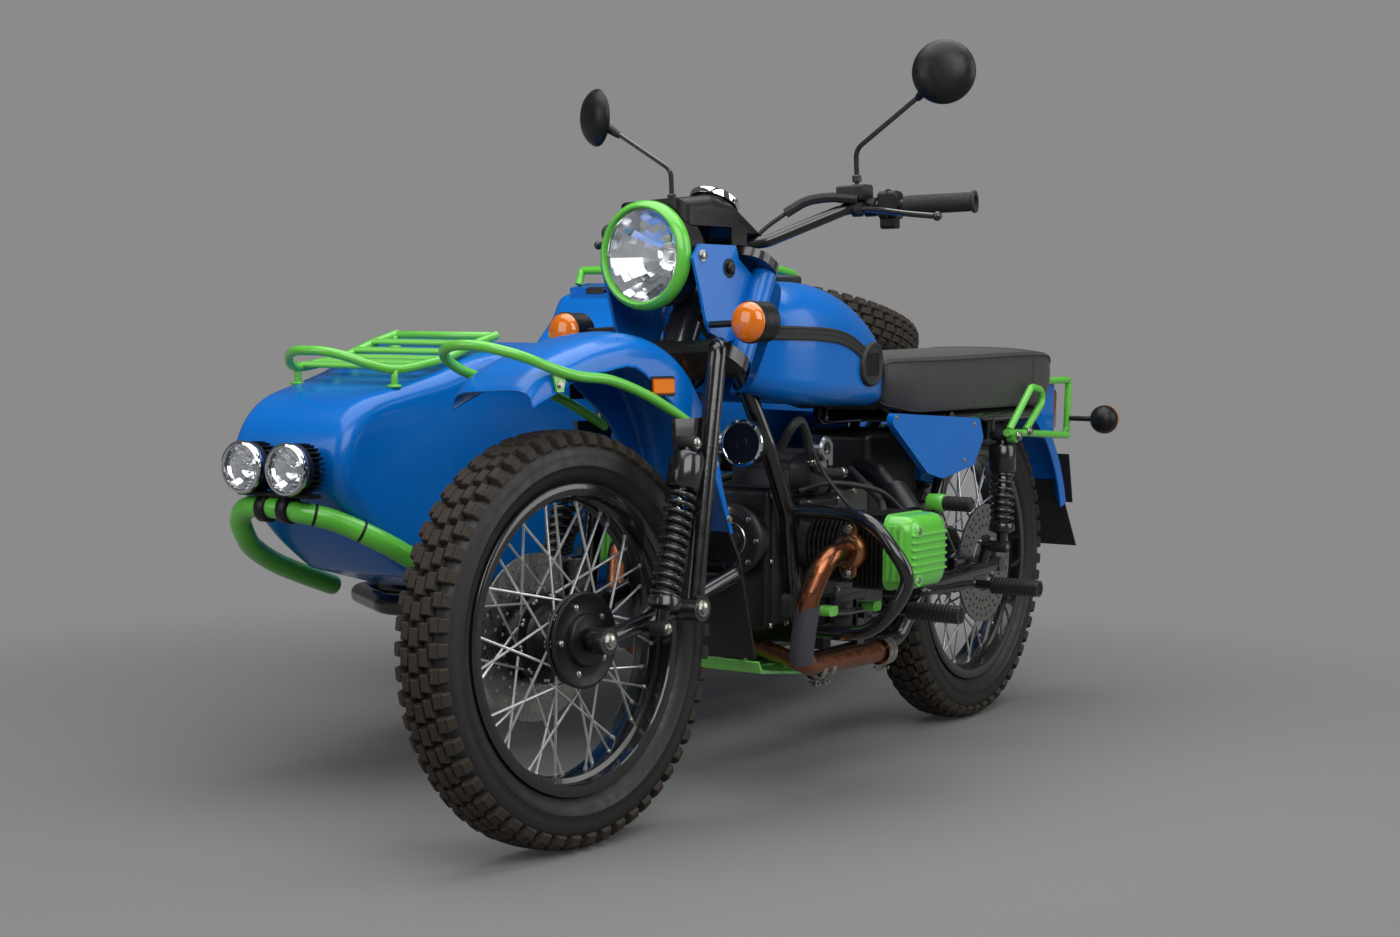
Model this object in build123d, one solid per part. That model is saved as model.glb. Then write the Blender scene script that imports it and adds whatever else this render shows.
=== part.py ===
"""Sidecar motorcycle: flat-twin motorcycle with a sidecar on its right, in millimetres.

The motorcycle stands in its own frame first: the rear wheel touches the ground at X = 0, the
motorcycle's middle plane is Y = 0, the ground is Z = 0, +X is forward and +Y is left.
At the end everything moves by SHIFT, so that the origin lies under the middle of the whole.
"""
from build123d import *
from math import atan2, cos, degrees, hypot, pi, radians, sin, tan
import os

# ---------------------------------------------------------------- driving dimensions
WHEELBASE = 1500.0        # rear axle to front axle
TRACK = 1135.0            # motorcycle's middle plane to the sidecar wheel's
TYRE_R = 345.0            # over the tread lugs
TYRE_HALF = 55.0          # half width over the shoulders
RIM_R = 256.0             # over the rim flanges
RIM_HALF = 36.0           # half width between the flanges
RIM_BED_R = 242.0         # where the tyre sits
RIM_WALL = 6.0
AXLE_R = 10.0
FIT = 0.3                 # gap between pieces that seat on each other
RUN = 0.5                 # gap at a pin or an axle that turns

RAKE = 28.0               # steering axis from the vertical, degrees
STEER_X = 1420.0          # steering axis at axle height
STEER_REST = -6.5         # handlebar turned to the right at rest, degrees
STEER_RISE = 1.6          # fork group up its axis, so that the turned tyre stands on the ground
HEAD_LOW = 822.0          # steering head's lower end, height
HEAD_HIGH = 955.0         # steering head's upper end, height
HEAD_R = 30.0
STEM_R = 15.0

TUB_Y = -665.0            # sidecar body's middle plane
TUB_HALF = 285.0          # half width at the cockpit
NOSE_HALF = 140.0         # half width at the nose
TUB_WALL = 12.0

SPARE_X = -391.0          # spare wheel's centre
SPARE_Y = -690.0
SPARE_Z = 842.0
SPARE_GAP = 12.0          # spare tyre above the deck
SPARE_LEAN = 15.0         # spare wheel's axis from the vertical, degrees

AXLE_Z = TYRE_R
RAKE_DIR = Vector(-sin(radians(RAKE)), 0, cos(radians(RAKE)))
STEER_POINT = Vector(STEER_X, 0, AXLE_Z)


def steer_x(z):
    """X of the steering axis at the height z."""
    return STEER_X - (z - AXLE_Z) * tan(radians(RAKE))


# ---------------------------------------------------------------- small builders
def rod(start, end, r):
    """Round bar from one point to another."""
    a = Vector(*start)
    b = Vector(*end)
    return extrude(Plane(origin=a, z_dir=b - a) * Circle(r), (b - a).length)


def pipe(start, end, r, bore):
    """Round tube from one point to another."""
    a = Vector(*start)
    b = Vector(*end)
    return extrude(Plane(origin=a, z_dir=b - a) * (Circle(r) - Circle(bore)), (b - a).length)


def bent(points, r, bend):
    """Round bar along straight runs joined by arcs of the radius bend."""
    path = FilletPolyline(*[Vector(*p) for p in points], radius=bend)
    return sweep(Plane(origin=path @ 0, z_dir=path % 0) * Circle(r), path=path)


def block(x0, x1, y0, y1, z0, z1, edge=0.0):
    """Box from its corners, with its edges rounded by the radius edge."""
    box = Pos((x0 + x1) / 2, (y0 + y1) / 2, (z0 + z1) / 2) * Box(x1 - x0, y1 - y0, z1 - z0)
    return fillet(box.edges(), edge) if edge else box


def slab_xz(points, y0, y1):
    """Plate with an outline in X and Z, from y0 to y1."""
    face = make_face(Polyline(*[(x, z) for x, z in points], close=True))
    return extrude(Plane(origin=(0, y1, 0), x_dir=(1, 0, 0), z_dir=(0, -1, 0)) * face, y1 - y0)


def slab_xy(points, z0, z1):
    """Plate with an outline in X and Y, from z0 to z1."""
    face = make_face(Polyline(*points, close=True))
    return extrude(Pos(0, 0, z0) * face, z1 - z0)


def turned(points, place):
    """Solid of revolution: points are (radius, along), about Y at the point place."""
    face = make_face(Polyline(*points, close=True))
    return Pos(*place) * revolve(face, Axis.Y, 360)


def mirrored(shape):
    """The same piece on the motorcycle's other side."""
    return mirror(shape, about=Plane.XZ)


def both(shape):
    """A piece with its mirror image."""
    return shape + mirrored(shape)


# ---------------------------------------------------------------- wheels
SPOKES = 40
HUB_R = 52.0
HUB_HALF = 46.0
FLANGE_R = 76.0
FLANGE_Y = 34.0
SPOKE_R = 2.2
BEAD = RIM_HALF - FIT


def tyre():
    """Tyre as a ring about Y, out to the lugs' tips."""
    half = [(RIM_BED_R + FIT, BEAD), (RIM_R + 3, BEAD), (RIM_R + 12, 48), (300, TYRE_HALF),
            (326, TYRE_HALF), (338, 46), (TYRE_R, 30)]
    ring = half + [(r, -y) for r, y in reversed(half)]
    return turned(ring, (0, 0, 0))


def rim():
    """Rim: a bed between two flanges."""
    half = [(RIM_BED_R - 8 - RIM_WALL, 12), (RIM_BED_R - RIM_WALL, 18), (RIM_BED_R - RIM_WALL, RIM_HALF + 4),
            (RIM_R, RIM_HALF + 4), (RIM_R, RIM_HALF), (RIM_BED_R, RIM_HALF), (RIM_BED_R, 16),
            (RIM_BED_R - 8, 12)]
    ring = half + [(r, -y) for r, y in reversed(half)]
    return turned(ring, (0, 0, 0))


def hub():
    """Hub: a barrel with two spoke flanges and a bore for the axle."""
    half = [(AXLE_R + RUN, HUB_HALF), (HUB_R, HUB_HALF), (HUB_R, FLANGE_Y + 4),
            (FLANGE_R, FLANGE_Y + 4), (FLANGE_R, FLANGE_Y - 4), (HUB_R, FLANGE_Y - 4)]
    ring = half + [(r, -y) for r, y in reversed(half)]
    return turned(ring, (0, 0, 0))


def spoke_set():
    """Spokes from the hub flanges to the rim, crossed in pairs."""
    rods = []
    for i in range(SPOKES):
        rim_at = 2 * pi * i / SPOKES
        side = 1 if i % 2 else -1
        lean = radians(42) if (i // 2) % 2 else -radians(42)
        hub_at = rim_at + lean
        r_hub = FLANGE_R - 6
        r_rim = RIM_BED_R - 10
        start = (r_hub * cos(hub_at), side * FLANGE_Y, r_hub * sin(hub_at))
        end = (r_rim * cos(rim_at), side * 6, r_rim * sin(rim_at))
        rods.append(rod(start, end, SPOKE_R))
    return rods


def wire_wheel():
    """Rim, hub and spokes in one."""
    return rim() + hub() + spoke_set()


def disc(r, bore, y0, y1, holes, hole_r, ring_r):
    """Brake disc between y0 and y1, with a ring of holes."""
    face = Circle(r) - Circle(bore)
    face -= PolarLocations(ring_r, holes) * Circle(hole_r)
    return extrude(Plane(origin=(0, y1, 0), x_dir=(1, 0, 0), z_dir=(0, -1, 0)) * face, y1 - y0)


# ---------------------------------------------------------------- motorcycle: frame
MAIN_R = 16.0             # frame tubes
DOWN_Y = 92.0             # downtubes and cradle from the middle plane
CRADLE_Z = 236.0
RAIL_Y = 100.0            # seat rails from the middle plane
PIVOT_X = 440.0           # swing arm's pivot
SPINE_R = 22.0
RAIL_Z = 676.0            # seat rails, height
SHOCK_REAR_TOP = (82.0, 134.0, 632.0)
SHOCK_REAR_LOW = (76.0, 134.0, 392.0)
REAR_FENDER_R = 402.0     # rear fender's outside
REAR_FENDER_X = -30.0     # its centre
REAR_FENDER_HALF = 80.0


LOOP = [(steer_x(880), 22, 880), (1045, 38, 815), (990, 80, 650), (932, DOWN_Y, 520), (912, DOWN_Y, 390),
        (868, DOWN_Y, CRADLE_Z), (480, DOWN_Y, CRADLE_Z), (395, 100, 330), (330, RAIL_Y + 12, 560),
        (300, RAIL_Y + 12, RAIL_Z - 4)]
RAIL = [(560, 40, 740), (470, RAIL_Y, RAIL_Z), (-150, RAIL_Y, RAIL_Z)]
SPINE = [(steer_x(905), 0, 905), (960, 0, 868), (620, 0, 770), (540, 0, 735)]


def loops(r):
    """Both side loops of the frame, with tubes of the radius r."""
    return both(bent(LOOP, r, 55))


def main_frame():
    """Twin-loop frame: head, spine, downtubes, cradle and seat rails."""
    head_low = (steer_x(HEAD_LOW), 0, HEAD_LOW)
    head_high = (steer_x(HEAD_HIGH), 0, HEAD_HIGH)
    frame = rod(head_low, head_high, HEAD_R)
    frame += bent(SPINE, SPINE_R, 80)
    frame += loops(MAIN_R)
    frame += both(bent(RAIL, MAIN_R, 60))
    frame += rod((555, -52, 738), (555, 52, 738), MAIN_R)
    frame += rod((300, -118, RAIL_Z), (300, 118, RAIL_Z), 13)
    frame += both(block(-106, -84, REAR_FENDER_HALF + FIT, 95, RAIL_Z - 8, RAIL_Z + 46))
    frame += both(rod((395, 96, 330), (PIVOT_X + 4, 96, 330), 20))
    frame += rod((820, -DOWN_Y, CRADLE_Z), (820, DOWN_Y, CRADLE_Z), 13)
    frame += rod((500, -DOWN_Y, CRADLE_Z), (500, DOWN_Y, CRADLE_Z), 13)
    frame += both(rod((SHOCK_REAR_TOP[0], RAIL_Y, 670), (SHOCK_REAR_TOP[0], RAIL_Y, 622), 14))
    frame += both(rod((SHOCK_REAR_TOP[0], RAIL_Y - 8, SHOCK_REAR_TOP[2]),
                      (SHOCK_REAR_TOP[0], SHOCK_REAR_TOP[1] - 15 - FIT, SHOCK_REAR_TOP[2]), 12))
    bore = rod((steer_x(HEAD_LOW - 20), 0, HEAD_LOW - 20), (steer_x(HEAD_HIGH + 20), 0, HEAD_HIGH + 20),
               STEM_R + RUN)
    return frame - bore


def damper(top, low, r_cap, r_spring, eye):
    """Coil-over shock: an eye at each end, a cap, a spring's outside and a foot."""
    a = Vector(*top)
    b = Vector(*low)
    run = b - a
    length = run.length
    d = run.normalized()

    def at(s):
        return tuple(a + d * s)
    body = rod(at(6), at(24), 11) + rod(at(16), at(78), r_cap)
    body += rod(at(76), at(length - 48), r_spring)
    body += rod(at(length - 52), at(length - 34), r_cap) + rod(at(length - 40), at(length - 6), 11)
    for centre in (a, b):
        body += rod((centre.X, centre.Y - 15, centre.Z), (centre.X, centre.Y + 15, centre.Z), eye)
    return body


# ---------------------------------------------------------------- motorcycle: engine
CRANK_X = 850.0
CYL_Z = 459.0
FIN_R = 68.0
COVER_Y0 = 292.0          # rocker cover's inner face
COVER_Y1 = 350.0          # rocker cover's outer face


def crankcase():
    """Crankcase with its front cover, gearbox and bell housing."""
    case = block(735, 880, -96, 96, 345, 548, 14)
    case += block(735, 860, -74, 74, 268, 360, 14)
    case += block(878, 955, -66, 66, 300, 566, 14)
    case += rod((950, 0, 470), (975, 0, 470), 66)
    case += block(600, 745, -88, 88, 262, 560, 14)
    case += block(486, 602, -66, 66, 270, 470, 14)
    case += both(rod((CRANK_X, 90, CYL_Z), (CRANK_X, 112, CYL_Z), 50))
    for x in (620, 770):
        case += both(block(x, x + 30, 60, DOWN_Y + 6, CRADLE_Z + MAIN_R + FIT, 300))
    return case


def cylinder():
    """Left cylinder: finned barrel and head."""
    barrel = rod((CRANK_X, 112 + FIT, CYL_Z), (CRANK_X, 286, CYL_Z), 46)
    for i in range(10):
        y = 128 + i * 9.5
        barrel += rod((CRANK_X, y, CYL_Z), (CRANK_X, y + 4, CYL_Z), FIN_R)
    for i in range(7):
        y = 224 + i * 9.0
        barrel += block(CRANK_X - 70, CRANK_X + 72, y, y + 4, CYL_Z - 68, CYL_Z + 68)
    barrel += block(CRANK_X - 60, CRANK_X + 62, 220, COVER_Y0 - FIT, CYL_Z - 56, CYL_Z + 56, 8)
    barrel += rod((CRANK_X + 40, 224, CYL_Z), (CRANK_X + 78, 224, CYL_Z), 25)
    return barrel


def rocker_cover():
    """Left rocker cover, ribbed on its outer face."""
    cover = block(CRANK_X - 72, CRANK_X + 86, COVER_Y0, COVER_Y1, CYL_Z - 67, CYL_Z + 69, 22)
    return cover


# ---------------------------------------------------------------- motorcycle: bodywork
def rounded_station(x, half, low, high, r_top, r_low):
    """Cross-section at X: upright outline with round top corners and smaller lower ones."""
    face = Pos(0, (low + high) / 2) * Rectangle(2 * half, high - low)
    corners = face.vertices().sort_by(Axis.Y)
    face = fillet(corners[:2], r_low)
    corners = [v for v in face.vertices() if v.Y > high - 1]
    face = fillet(corners, r_top)
    return Plane(origin=(x, 0, 0), x_dir=(0, 1, 0), z_dir=(1, 0, 0)) * face


COVER_SWEEP = 152.0       # room about the steering axis for the fork covers


def tank():
    """Fuel tank with a tunnel for the spine."""
    #  X,    half, low, high, top radius, lower radius
    stations = [
        (1062, 92, 752, 925, 60, 30),
        (985, 138, 728, 940, 82, 40),
        (820, 152, 716, 938, 92, 42),
        (690, 138, 712, 902, 88, 36),
        (605.3, 112, 712, 856, 62, 26),
    ]
    body = loft([rounded_station(*row) for row in stations])
    tunnel = block(500, 1100, -30, 30, 690, 790)
    tunnel += bent(SPINE, SPINE_R + 6, 80)
    body -= tunnel
    body -= loops(MAIN_R + 5)
    sweep_low = STEER_POINT + RAKE_DIR * 400
    return body - rod(tuple(sweep_low), tuple(sweep_low + RAKE_DIR * 400), COVER_SWEEP)


def seat_bench():
    """Bench seat: a closed cushion on the rails, hollowed over the fender and the spine's end."""
    low = RAIL_Z + MAIN_R + FIT
    outline = [(605, 812), (605, 712), (540, 700), (480, low), (-150, low), (-176, 704), (-192, 730),
               (-188, 786), (-160, 812), (0, 818), (300, 812)]
    cushion = slab_xz(outline, -SEAT_HALF, SEAT_HALF)
    sides = [e for e in cushion.edges() if abs(abs((e @ 0.5).Y) - SEAT_HALF) < 0.1 and (e @ 0.5).Z > 690 + FIT]
    cushion = fillet(sides, 16)
    top = REAR_FENDER_R + AXLE_Z + 6
    cushion -= block(-240, 262, -96, 96, 660, top)
    cushion -= block(262, 620, -96, 96, 660, 708)
    cushion -= block(440, 620, -84, 84, 660, 792)
    return cushion - both(bent(RAIL, MAIN_R + FIT, 60))


SEAT_HALF = 142.0


def side_cover():
    """Left side cover with the studs that hold it off the frame."""
    outline = [(692, 700), (262, 676), (242, 634), (286, 580), (430, 560), (500, 574)]
    cover = fillet(slab_xz(outline, 150, 164).edges().filter_by(Axis.Y), 14)
    cover += rod((400, RAIL_Y + MAIN_R + FIT, RAIL_Z), (400, 152, RAIL_Z), 8)
    cover += rod((316, RAIL_Y + 12 + MAIN_R + FIT, 620), (316, 152, 620), 8)
    return cover


def arch(r, r_in, half, start, end, centre):
    """Fender: a channel about a wheel's axle, open towards it, between two angles in degrees."""
    skirt = 42.0
    t = r - r_in
    pts = [(r - skirt, half), (r - skirt, half - t), (r - t - 14, half - t), (r - t, half - t - 22),
           (r - t, -(half - t - 22)), (r - t - 14, -(half - t)), (r - skirt, -(half - t)),
           (r - skirt, -half), (r - 12, -half), (r, -(half - 24)), (r, half - 24), (r - 12, half)]
    face = make_face(Polyline(*pts, close=True))
    ring = revolve(face, Axis.Y, end - start)
    return Pos(*centre) * Rot(0, -end, 0) * ring


def rear_fender():
    """Rear fender."""
    return arch(REAR_FENDER_R, REAR_FENDER_R - 4, REAR_FENDER_HALF, 30, 164, (REAR_FENDER_X, 0, AXLE_Z))


def off_fender(solid):
    """What is left of a solid outside the rear fender's crown."""
    return solid - rod((REAR_FENDER_X, -200, AXLE_Z), (REAR_FENDER_X, 200, AXLE_Z), REAR_FENDER_R + FIT)


TAIL_X = -392.0           # tail box's rear face
TAIL_TOP = 732.0


def tail_box():
    """Tail box on the rear fender."""
    box = slab_xz([(-212, TAIL_TOP), (TAIL_X, TAIL_TOP), (TAIL_X, 606), (-300, 606)], -50, 50)
    box = fillet(box.edges().filter_by(Axis.Y), 8)
    return off_fender(box)


def tail_lamp():
    """Tail lamp on the tail box."""
    return block(TAIL_X - 34, TAIL_X - FIT, -42, 42, 628, 716, 8)


def plate_bracket():
    """Number plate's holder behind the fender."""
    plate = slab_xz([(-426, 566), (-430, 566), (-458, 450), (-454, 450)], -75, 75)
    arms = both(slab_xz([(-340, 560), (-429, 560), (-432, 546), (-340, 546)], 20, 30))
    return off_fender(plate + arms)


def rear_flap():
    """Mudflap at the rear fender's end."""
    tongue = []
    for r in (REAR_FENDER_R - 4 - FIT, REAR_FENDER_R - 9):
        for angle in (156, 164):
            a = radians(angle)
            tongue.append((REAR_FENDER_X + r * cos(a), AXLE_Z + r * sin(a)))
    flap = slab_xz([tongue[0], tongue[1], tongue[3], tongue[2]], -52, 52)
    (x1, z1), (x3, z3) = tongue[1], tongue[3]
    return flap + slab_xz([(x1, z1), (-488, 345), (-482, 345), (x3, z3)], -74, 74)


GRAB_R = 8.0


def grab_rails():
    """Passenger's grab rails with the hoop behind the tail box."""
    top = TAIL_TOP + GRAB_R + FIT
    y = SHOCK_REAR_TOP[1] + EYE_HALF + FIT + GRAB_R + 2
    loop = [(104, y, 646), (-8, y, 735), (-100, y, 722), (18, y, 642)]
    base = [(116, y, 640), (20, y, 636), (-211, y, 622), (-330, 100, 618), (-446, 60, 620), (-452, 60, top),
            (-300, 60, top), (-290, 40, top), (-290, -40, top)]
    base += [(x, -y, z) for x, y, z in reversed(base[:7])]
    rails = bent(base, GRAB_R, 9)
    rails += both(bent(loop, GRAB_R, 20))
    rails += both(rod((SHOCK_REAR_TOP[0], SHOCK_REAR_TOP[1] + EYE_HALF + FIT, SHOCK_REAR_TOP[2]),
                      (SHOCK_REAR_TOP[0], y + GRAB_R, SHOCK_REAR_TOP[2]), 14))
    return rails


def rear_signal():
    """Left rear turn signal on its stem."""
    stem = rod((-444, 60 + GRAB_R + FIT, 650), (-444, 140, 650), 6)
    return stem + rod((-458, 156, 650), (-430, 156, 650), 33) + Pos(-430, 156, 650) * Sphere(30)


# ---------------------------------------------------------------- motorcycle: rear wheel's carrier
ARM_Y = 86.0              # rear swing arm from the middle plane
ARM_R = 15.0


def swing_arm():
    """Rear swing arm with the axle, the final drive and the brake's caliper."""
    arm = rod((PIVOT_X, -75.7, 330), (PIVOT_X, 75.7, 330), 18)
    for side, r in ((1, ARM_R), (-1, ARM_R + 4)):
        arm += bent([(PIVOT_X, side * 56, 330), (380, side * 56, 330), (325, side * ARM_Y, 333),
                     (0, side * ARM_Y, AXLE_Z)], r, 32)
        arm += rod((0, side * (HUB_HALF + RUN), AXLE_Z), (0, side * (ARM_Y + 16), AXLE_Z), 16)
        low = SHOCK_REAR_LOW
        arm += rod((low[0], side * ARM_Y, AXLE_Z), (low[0], side * (ARM_Y + 14), low[2]), 12)
        arm += rod((low[0], side * (ARM_Y + 4), low[2]), (low[0], side * (low[1] - EYE_HALF - FIT), low[2]), 12)
    arm += rod((0, -ARM_Y, AXLE_Z), (0, ARM_Y, AXLE_Z), AXLE_R)
    arm += rod((0, -128, AXLE_Z), (0, -64, AXLE_Z), 74)
    arm += block(126, 176, 51, 75, 296, 372, 6) - block(100, 140, DISC_Y - 4, DISC_Y + 8, 280, 390)
    arm += rod((150, 70, 336), (150, ARM_Y, 336), 12)
    return arm


# ---------------------------------------------------------------- motorcycle: engine's surroundings
def airbox():
    """Air filter box with an intake pipe to each cylinder."""
    box = block(376, 590, -80, 80, 480, 656, 16)
    pipe_left = bent([(CRANK_X - 60, 252, CYL_Z + 22), (712, 240, 500), (650, 130, 580), (586, 60, 584)], 20, 34)
    pipe_left -= block(CRANK_X - 70 - FIT, CRANK_X, 200, 300, 420, 560)
    pipe_left += rod((716, 236, 502), (676, 178, 546), 30)
    return box + both(pipe_left)


def skid_plate():
    """Skid plate under the front of the engine, with a row of slots."""
    low = CRADLE_Z - MAIN_R - FIT
    plate = slab_xz([(1030, 258), (1018, 240), (870, low), (640, low), (640, low - 4), (872, low - 4),
                     (1022, 235), (1035, 256)], -94, 94)
    for i in range(3):
        for y in (-48, 0, 48):
            plate -= block(700 + 60 * i, 730 + 60 * i, y - 9, y + 9, 190, 240)
    plate += both(block(700, 760, 62, 72, low - 1, CRADLE_Z - 4) - rod((600, DOWN_Y, CRADLE_Z), (900, DOWN_Y, CRADLE_Z),
                                                                MAIN_R + FIT))
    return plate


def crash_bar():
    """Left crash bar around the cylinder."""
    y0 = DOWN_Y + 2
    path = [(928, y0, 522), (962, 240, 527), (1000, 335, 500), (966, 372, 420), (1000, 335, 345), (950, 240, 312),
            (888, y0, 300)]
    return bent(path, 13, 40) - loops(MAIN_R + FIT)


def exhaust():
    """Left and right headers with the crossover and the lower pipes."""
    header = [(CRANK_X + 86, 224, CYL_Z), (1020, 222, CYL_Z - 4), (1052, 204, 380), (1038, 182, 258),
              (700, 176, 246)]
    pipes = both(bent(header, 20, 52))
    pipes += both(rod((CRANK_X + 78 + FIT, 224, CYL_Z), (CRANK_X + 88, 224, CYL_Z), 34))
    pipes += bent([(1000, 176, 254), (924, 30, 268), (924, -30, 268), (1000, -176, 254)], 16, 60)
    pipes += both(rod((712, 176, 246), (692, 176, 246), 25))
    return pipes


def silencer():
    """Silencer between the motorcycle and the sidecar."""
    body = rod((692 - FIT, -176, 246), (652, -176, 246), 22) + rod((664, -177, 247), (636, -184, 250), 22)
    return body + rod((645, -184, 250), (110, -192, 262), 38)


def foot_peg():
    """Left rider's and passenger's footpegs with their brackets."""
    y0 = DOWN_Y + MAIN_R + FIT
    rider = block(674, 706, y0, y0 + 12, 224, 340, 4)
    rider += rod((690, y0 + 6, 325), (690, 330, 325), 10) + rod((690, 222, 325), (690, 332, 325), 17)
    return rider


def pillion_peg():
    """Left passenger's footpeg with its arm from the swing arm's pivot."""
    arm = bent([(444, 116.3, 330), (444, 134, 330), (255, 152, 330), (255, 200, 330)], 9, 12)
    return arm + rod((255, 196, 330), (255, 302, 330), 17)


def kick_lever():
    """Kick lever with its folding pedal, and the gear lever."""
    arm = bent([(506, 66 + FIT, 380), (506, 150, 380), (480, 176, 515)], 9, 20)
    arm += rod((480, 160, 515), (480, 190, 515), 16) + rod((480, 186, 515), (480, 250, 515), 13)
    return arm


def horn():
    """Left horn on its strap."""
    body = rod((1052, 80, 655), (1082, 82, 655), 40)
    strap = rod((992, 79, 655), (1056, 80, 655), 8) - loops(MAIN_R + FIT)
    return body + strap


def tank_cap():
    """Fuel cap on the tank's top."""
    return rod((815, 0, 925), (812, 0, 956), 38) - tank()


# ---------------------------------------------------------------- sidecar body
TUB_LOW = 322.0           # underside of the floor
LID_X0 = -18.0            # trunk lid from the rear
LID_X1 = 212.0            # to its hinge
LID_HALF = 250.0
LID_Z = 932.0             # trunk opening's rim


def deck_z(x):
    """Height of the sloping tail deck under the spare wheel."""
    lean = radians(SPARE_LEAN)
    return SPARE_Z + (x - SPARE_X) * tan(lean) - (TYRE_HALF + SPARE_GAP) / cos(lean)


def tub_profile(inset):
    """Side face of the body, inset from its skin."""
    low = TUB_LOW + inset
    line = Polyline((-560, low), (960, low), (1240 - 0.3 * inset, 386 + 0.9 * inset),
                    (1395 - 0.8 * inset, 505 + 0.6 * inset))
    nose_low = line @ 1
    arc1 = ThreePointArc(nose_low, (1452 - inset, 596), (1418 - inset, 690))
    arc2 = ThreePointArc((1418 - inset, 690), (1370, 726 - inset), (1290, 744 - inset))
    top = Polyline((1290, 744 - inset), (1180, 768 - inset), (1083, 800 - inset), (930, 822 - inset),
                   (868, 826 - inset), (700, 720 - inset), (430, 720 - inset), (250, 880 - inset),
                   (LID_X1 + 12, LID_Z - inset), (-20, LID_Z - inset), (-180 + inset, 905 - inset),
                   (-186 + inset, deck_z(-186) - inset), (-640 + inset, deck_z(-640) - inset),
                   (-668 + inset, 560), (-560, low))
    return make_face([line, arc1, arc2, top])


def tub_plan(inset):
    """Top face of the body, inset from its skin."""
    half = TUB_HALF - inset
    nose = NOSE_HALF - inset
    pts = [(1500, nose), (1290, nose), (640, half), (-300, half), (-700, half - 40)]
    pts += [(x, -y) for x, y in reversed(pts)]
    return make_face(Polyline(*pts, close=True))


def spare_pit(r, depth):
    """Space that the spare wheel needs, down to a depth below its middle."""
    pit = rod((0, 0, -depth), (0, 0, 300), r)
    return Pos(SPARE_X, SPARE_Y, SPARE_Z) * Rot(0, -SPARE_LEAN, 0) * pit


def tub_block(inset):
    """The body as a solid block, inset from its skin."""
    side = extrude(Plane(origin=(0, TUB_Y + TUB_HALF, 0), x_dir=(1, 0, 0), z_dir=(0, -1, 0))
                   * tub_profile(inset), 2 * TUB_HALF)
    plan = extrude(Pos(0, TUB_Y, 200) * tub_plan(inset), 900)
    return (side & plan) - spare_pit(TYRE_R + SPARE_GAP + inset, TYRE_HALF + SPARE_GAP + inset)


def tub():
    """Sidecar body: thin walls, an open cockpit, a trunk behind its bulkhead."""
    inner = tub_block(TUB_WALL)
    shell = tub_block(0) - inner
    shell += inner & block(238, 250, TUB_Y - 400, TUB_Y + 400, 300, 1000)
    half = TUB_HALF - 42
    shell -= slab_xy([(846, TUB_Y + half - 20), (400, TUB_Y + half), (310, TUB_Y + half), (310, TUB_Y - half),
                      (400, TUB_Y - half), (846, TUB_Y - half + 20)], 500, 1000)
    shell -= block(LID_X0 + 30, LID_X1 - 22, TUB_Y - LID_HALF + 22, TUB_Y + LID_HALF - 22, 900, 1000)
    return shell


def trunk_lid():
    """Trunk lid, hinged at its front edge."""
    low = LID_Z + FIT
    lid = slab_xz([(LID_X1, low), (LID_X1, low + 12), (LID_X1 - 70, low + 24), (LID_X0 + 40, low + 18),
                   (LID_X0, low + 8), (LID_X0, low)], TUB_Y - LID_HALF, TUB_Y + LID_HALF)
    return lid - block(LID_X0 + 40, LID_X1 - 30, TUB_Y - LID_HALF + 30, TUB_Y + LID_HALF - 30, low - 1, low + 8)


def lid_hinge():
    """Hinge barrels at the trunk lid's front edge."""
    x = LID_X1 + 8
    z = LID_Z + 6 + FIT
    return rod((x, TUB_Y - 195, z), (x, TUB_Y - 145, z), 6) + rod((x, TUB_Y + 145, z), (x, TUB_Y + 195, z), 6)


RACK_R = 9.0


def trunk_rack():
    """Luggage rack on the trunk lid."""
    y = 236.0
    side = [(196, y, 952), (184, y, 985), (90, y, 990), (20, y, 982), (-8, y, 968), (-13, y, 946)]
    rack = []
    for way in (-1, 1):
        rack.append(Pos(0, TUB_Y, 0) * bent([(x, way * w, z) for x, w, z in side], RACK_R, 16))
    for x, z in ((182, 984), (130, 988), (78, 989), (28, 983)):
        rack.append(rod((x, TUB_Y - y, z), (x, TUB_Y + y, z), RACK_R - 1))
    whole = rack[0] + rack[1:]
    return whole - trunk_lid()


def nose_rack():
    """Luggage rack on the nose."""
    y = 125.0
    path = [(985, y, 838), (1128, y, 796), (1297, y - 6, 772), (1352, y - 50, 800), (1384, 40, 806)]
    path += [(x, -w, z) for x, w, z in reversed(path)]
    rack = Pos(0, TUB_Y, 0) * bent(path, RACK_R, 24)
    for x, z in ((1286, 773), (1232, 781), (1176, 789), (1120, 798), (1060, 816)):
        rack += rod((x, TUB_Y - y + 2, z), (x, TUB_Y + y - 2, z), RACK_R - 1)
    rack += rod((990, TUB_Y - y, 836), (990, TUB_Y + y, 836), RACK_R - 1)
    for x, z in ((1284, 774), (1000, 834)):
        for way in (-1, 1):
            rack += block(x - 10, x + 10, TUB_Y + way * 119 - 8, TUB_Y + way * 119 + 8, 730, z)
    return rack - tub_block(-FIT)


def cushions():
    """Cockpit seat's cushion and backrest."""
    floor = TUB_LOW + TUB_WALL + FIT
    base = block(330, 720, TUB_Y - 215, TUB_Y + 215, floor, 440, 18)
    back = block(250 + FIT, 326, TUB_Y - 215, TUB_Y + 215, floor, 640, 18)
    return base + back


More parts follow.
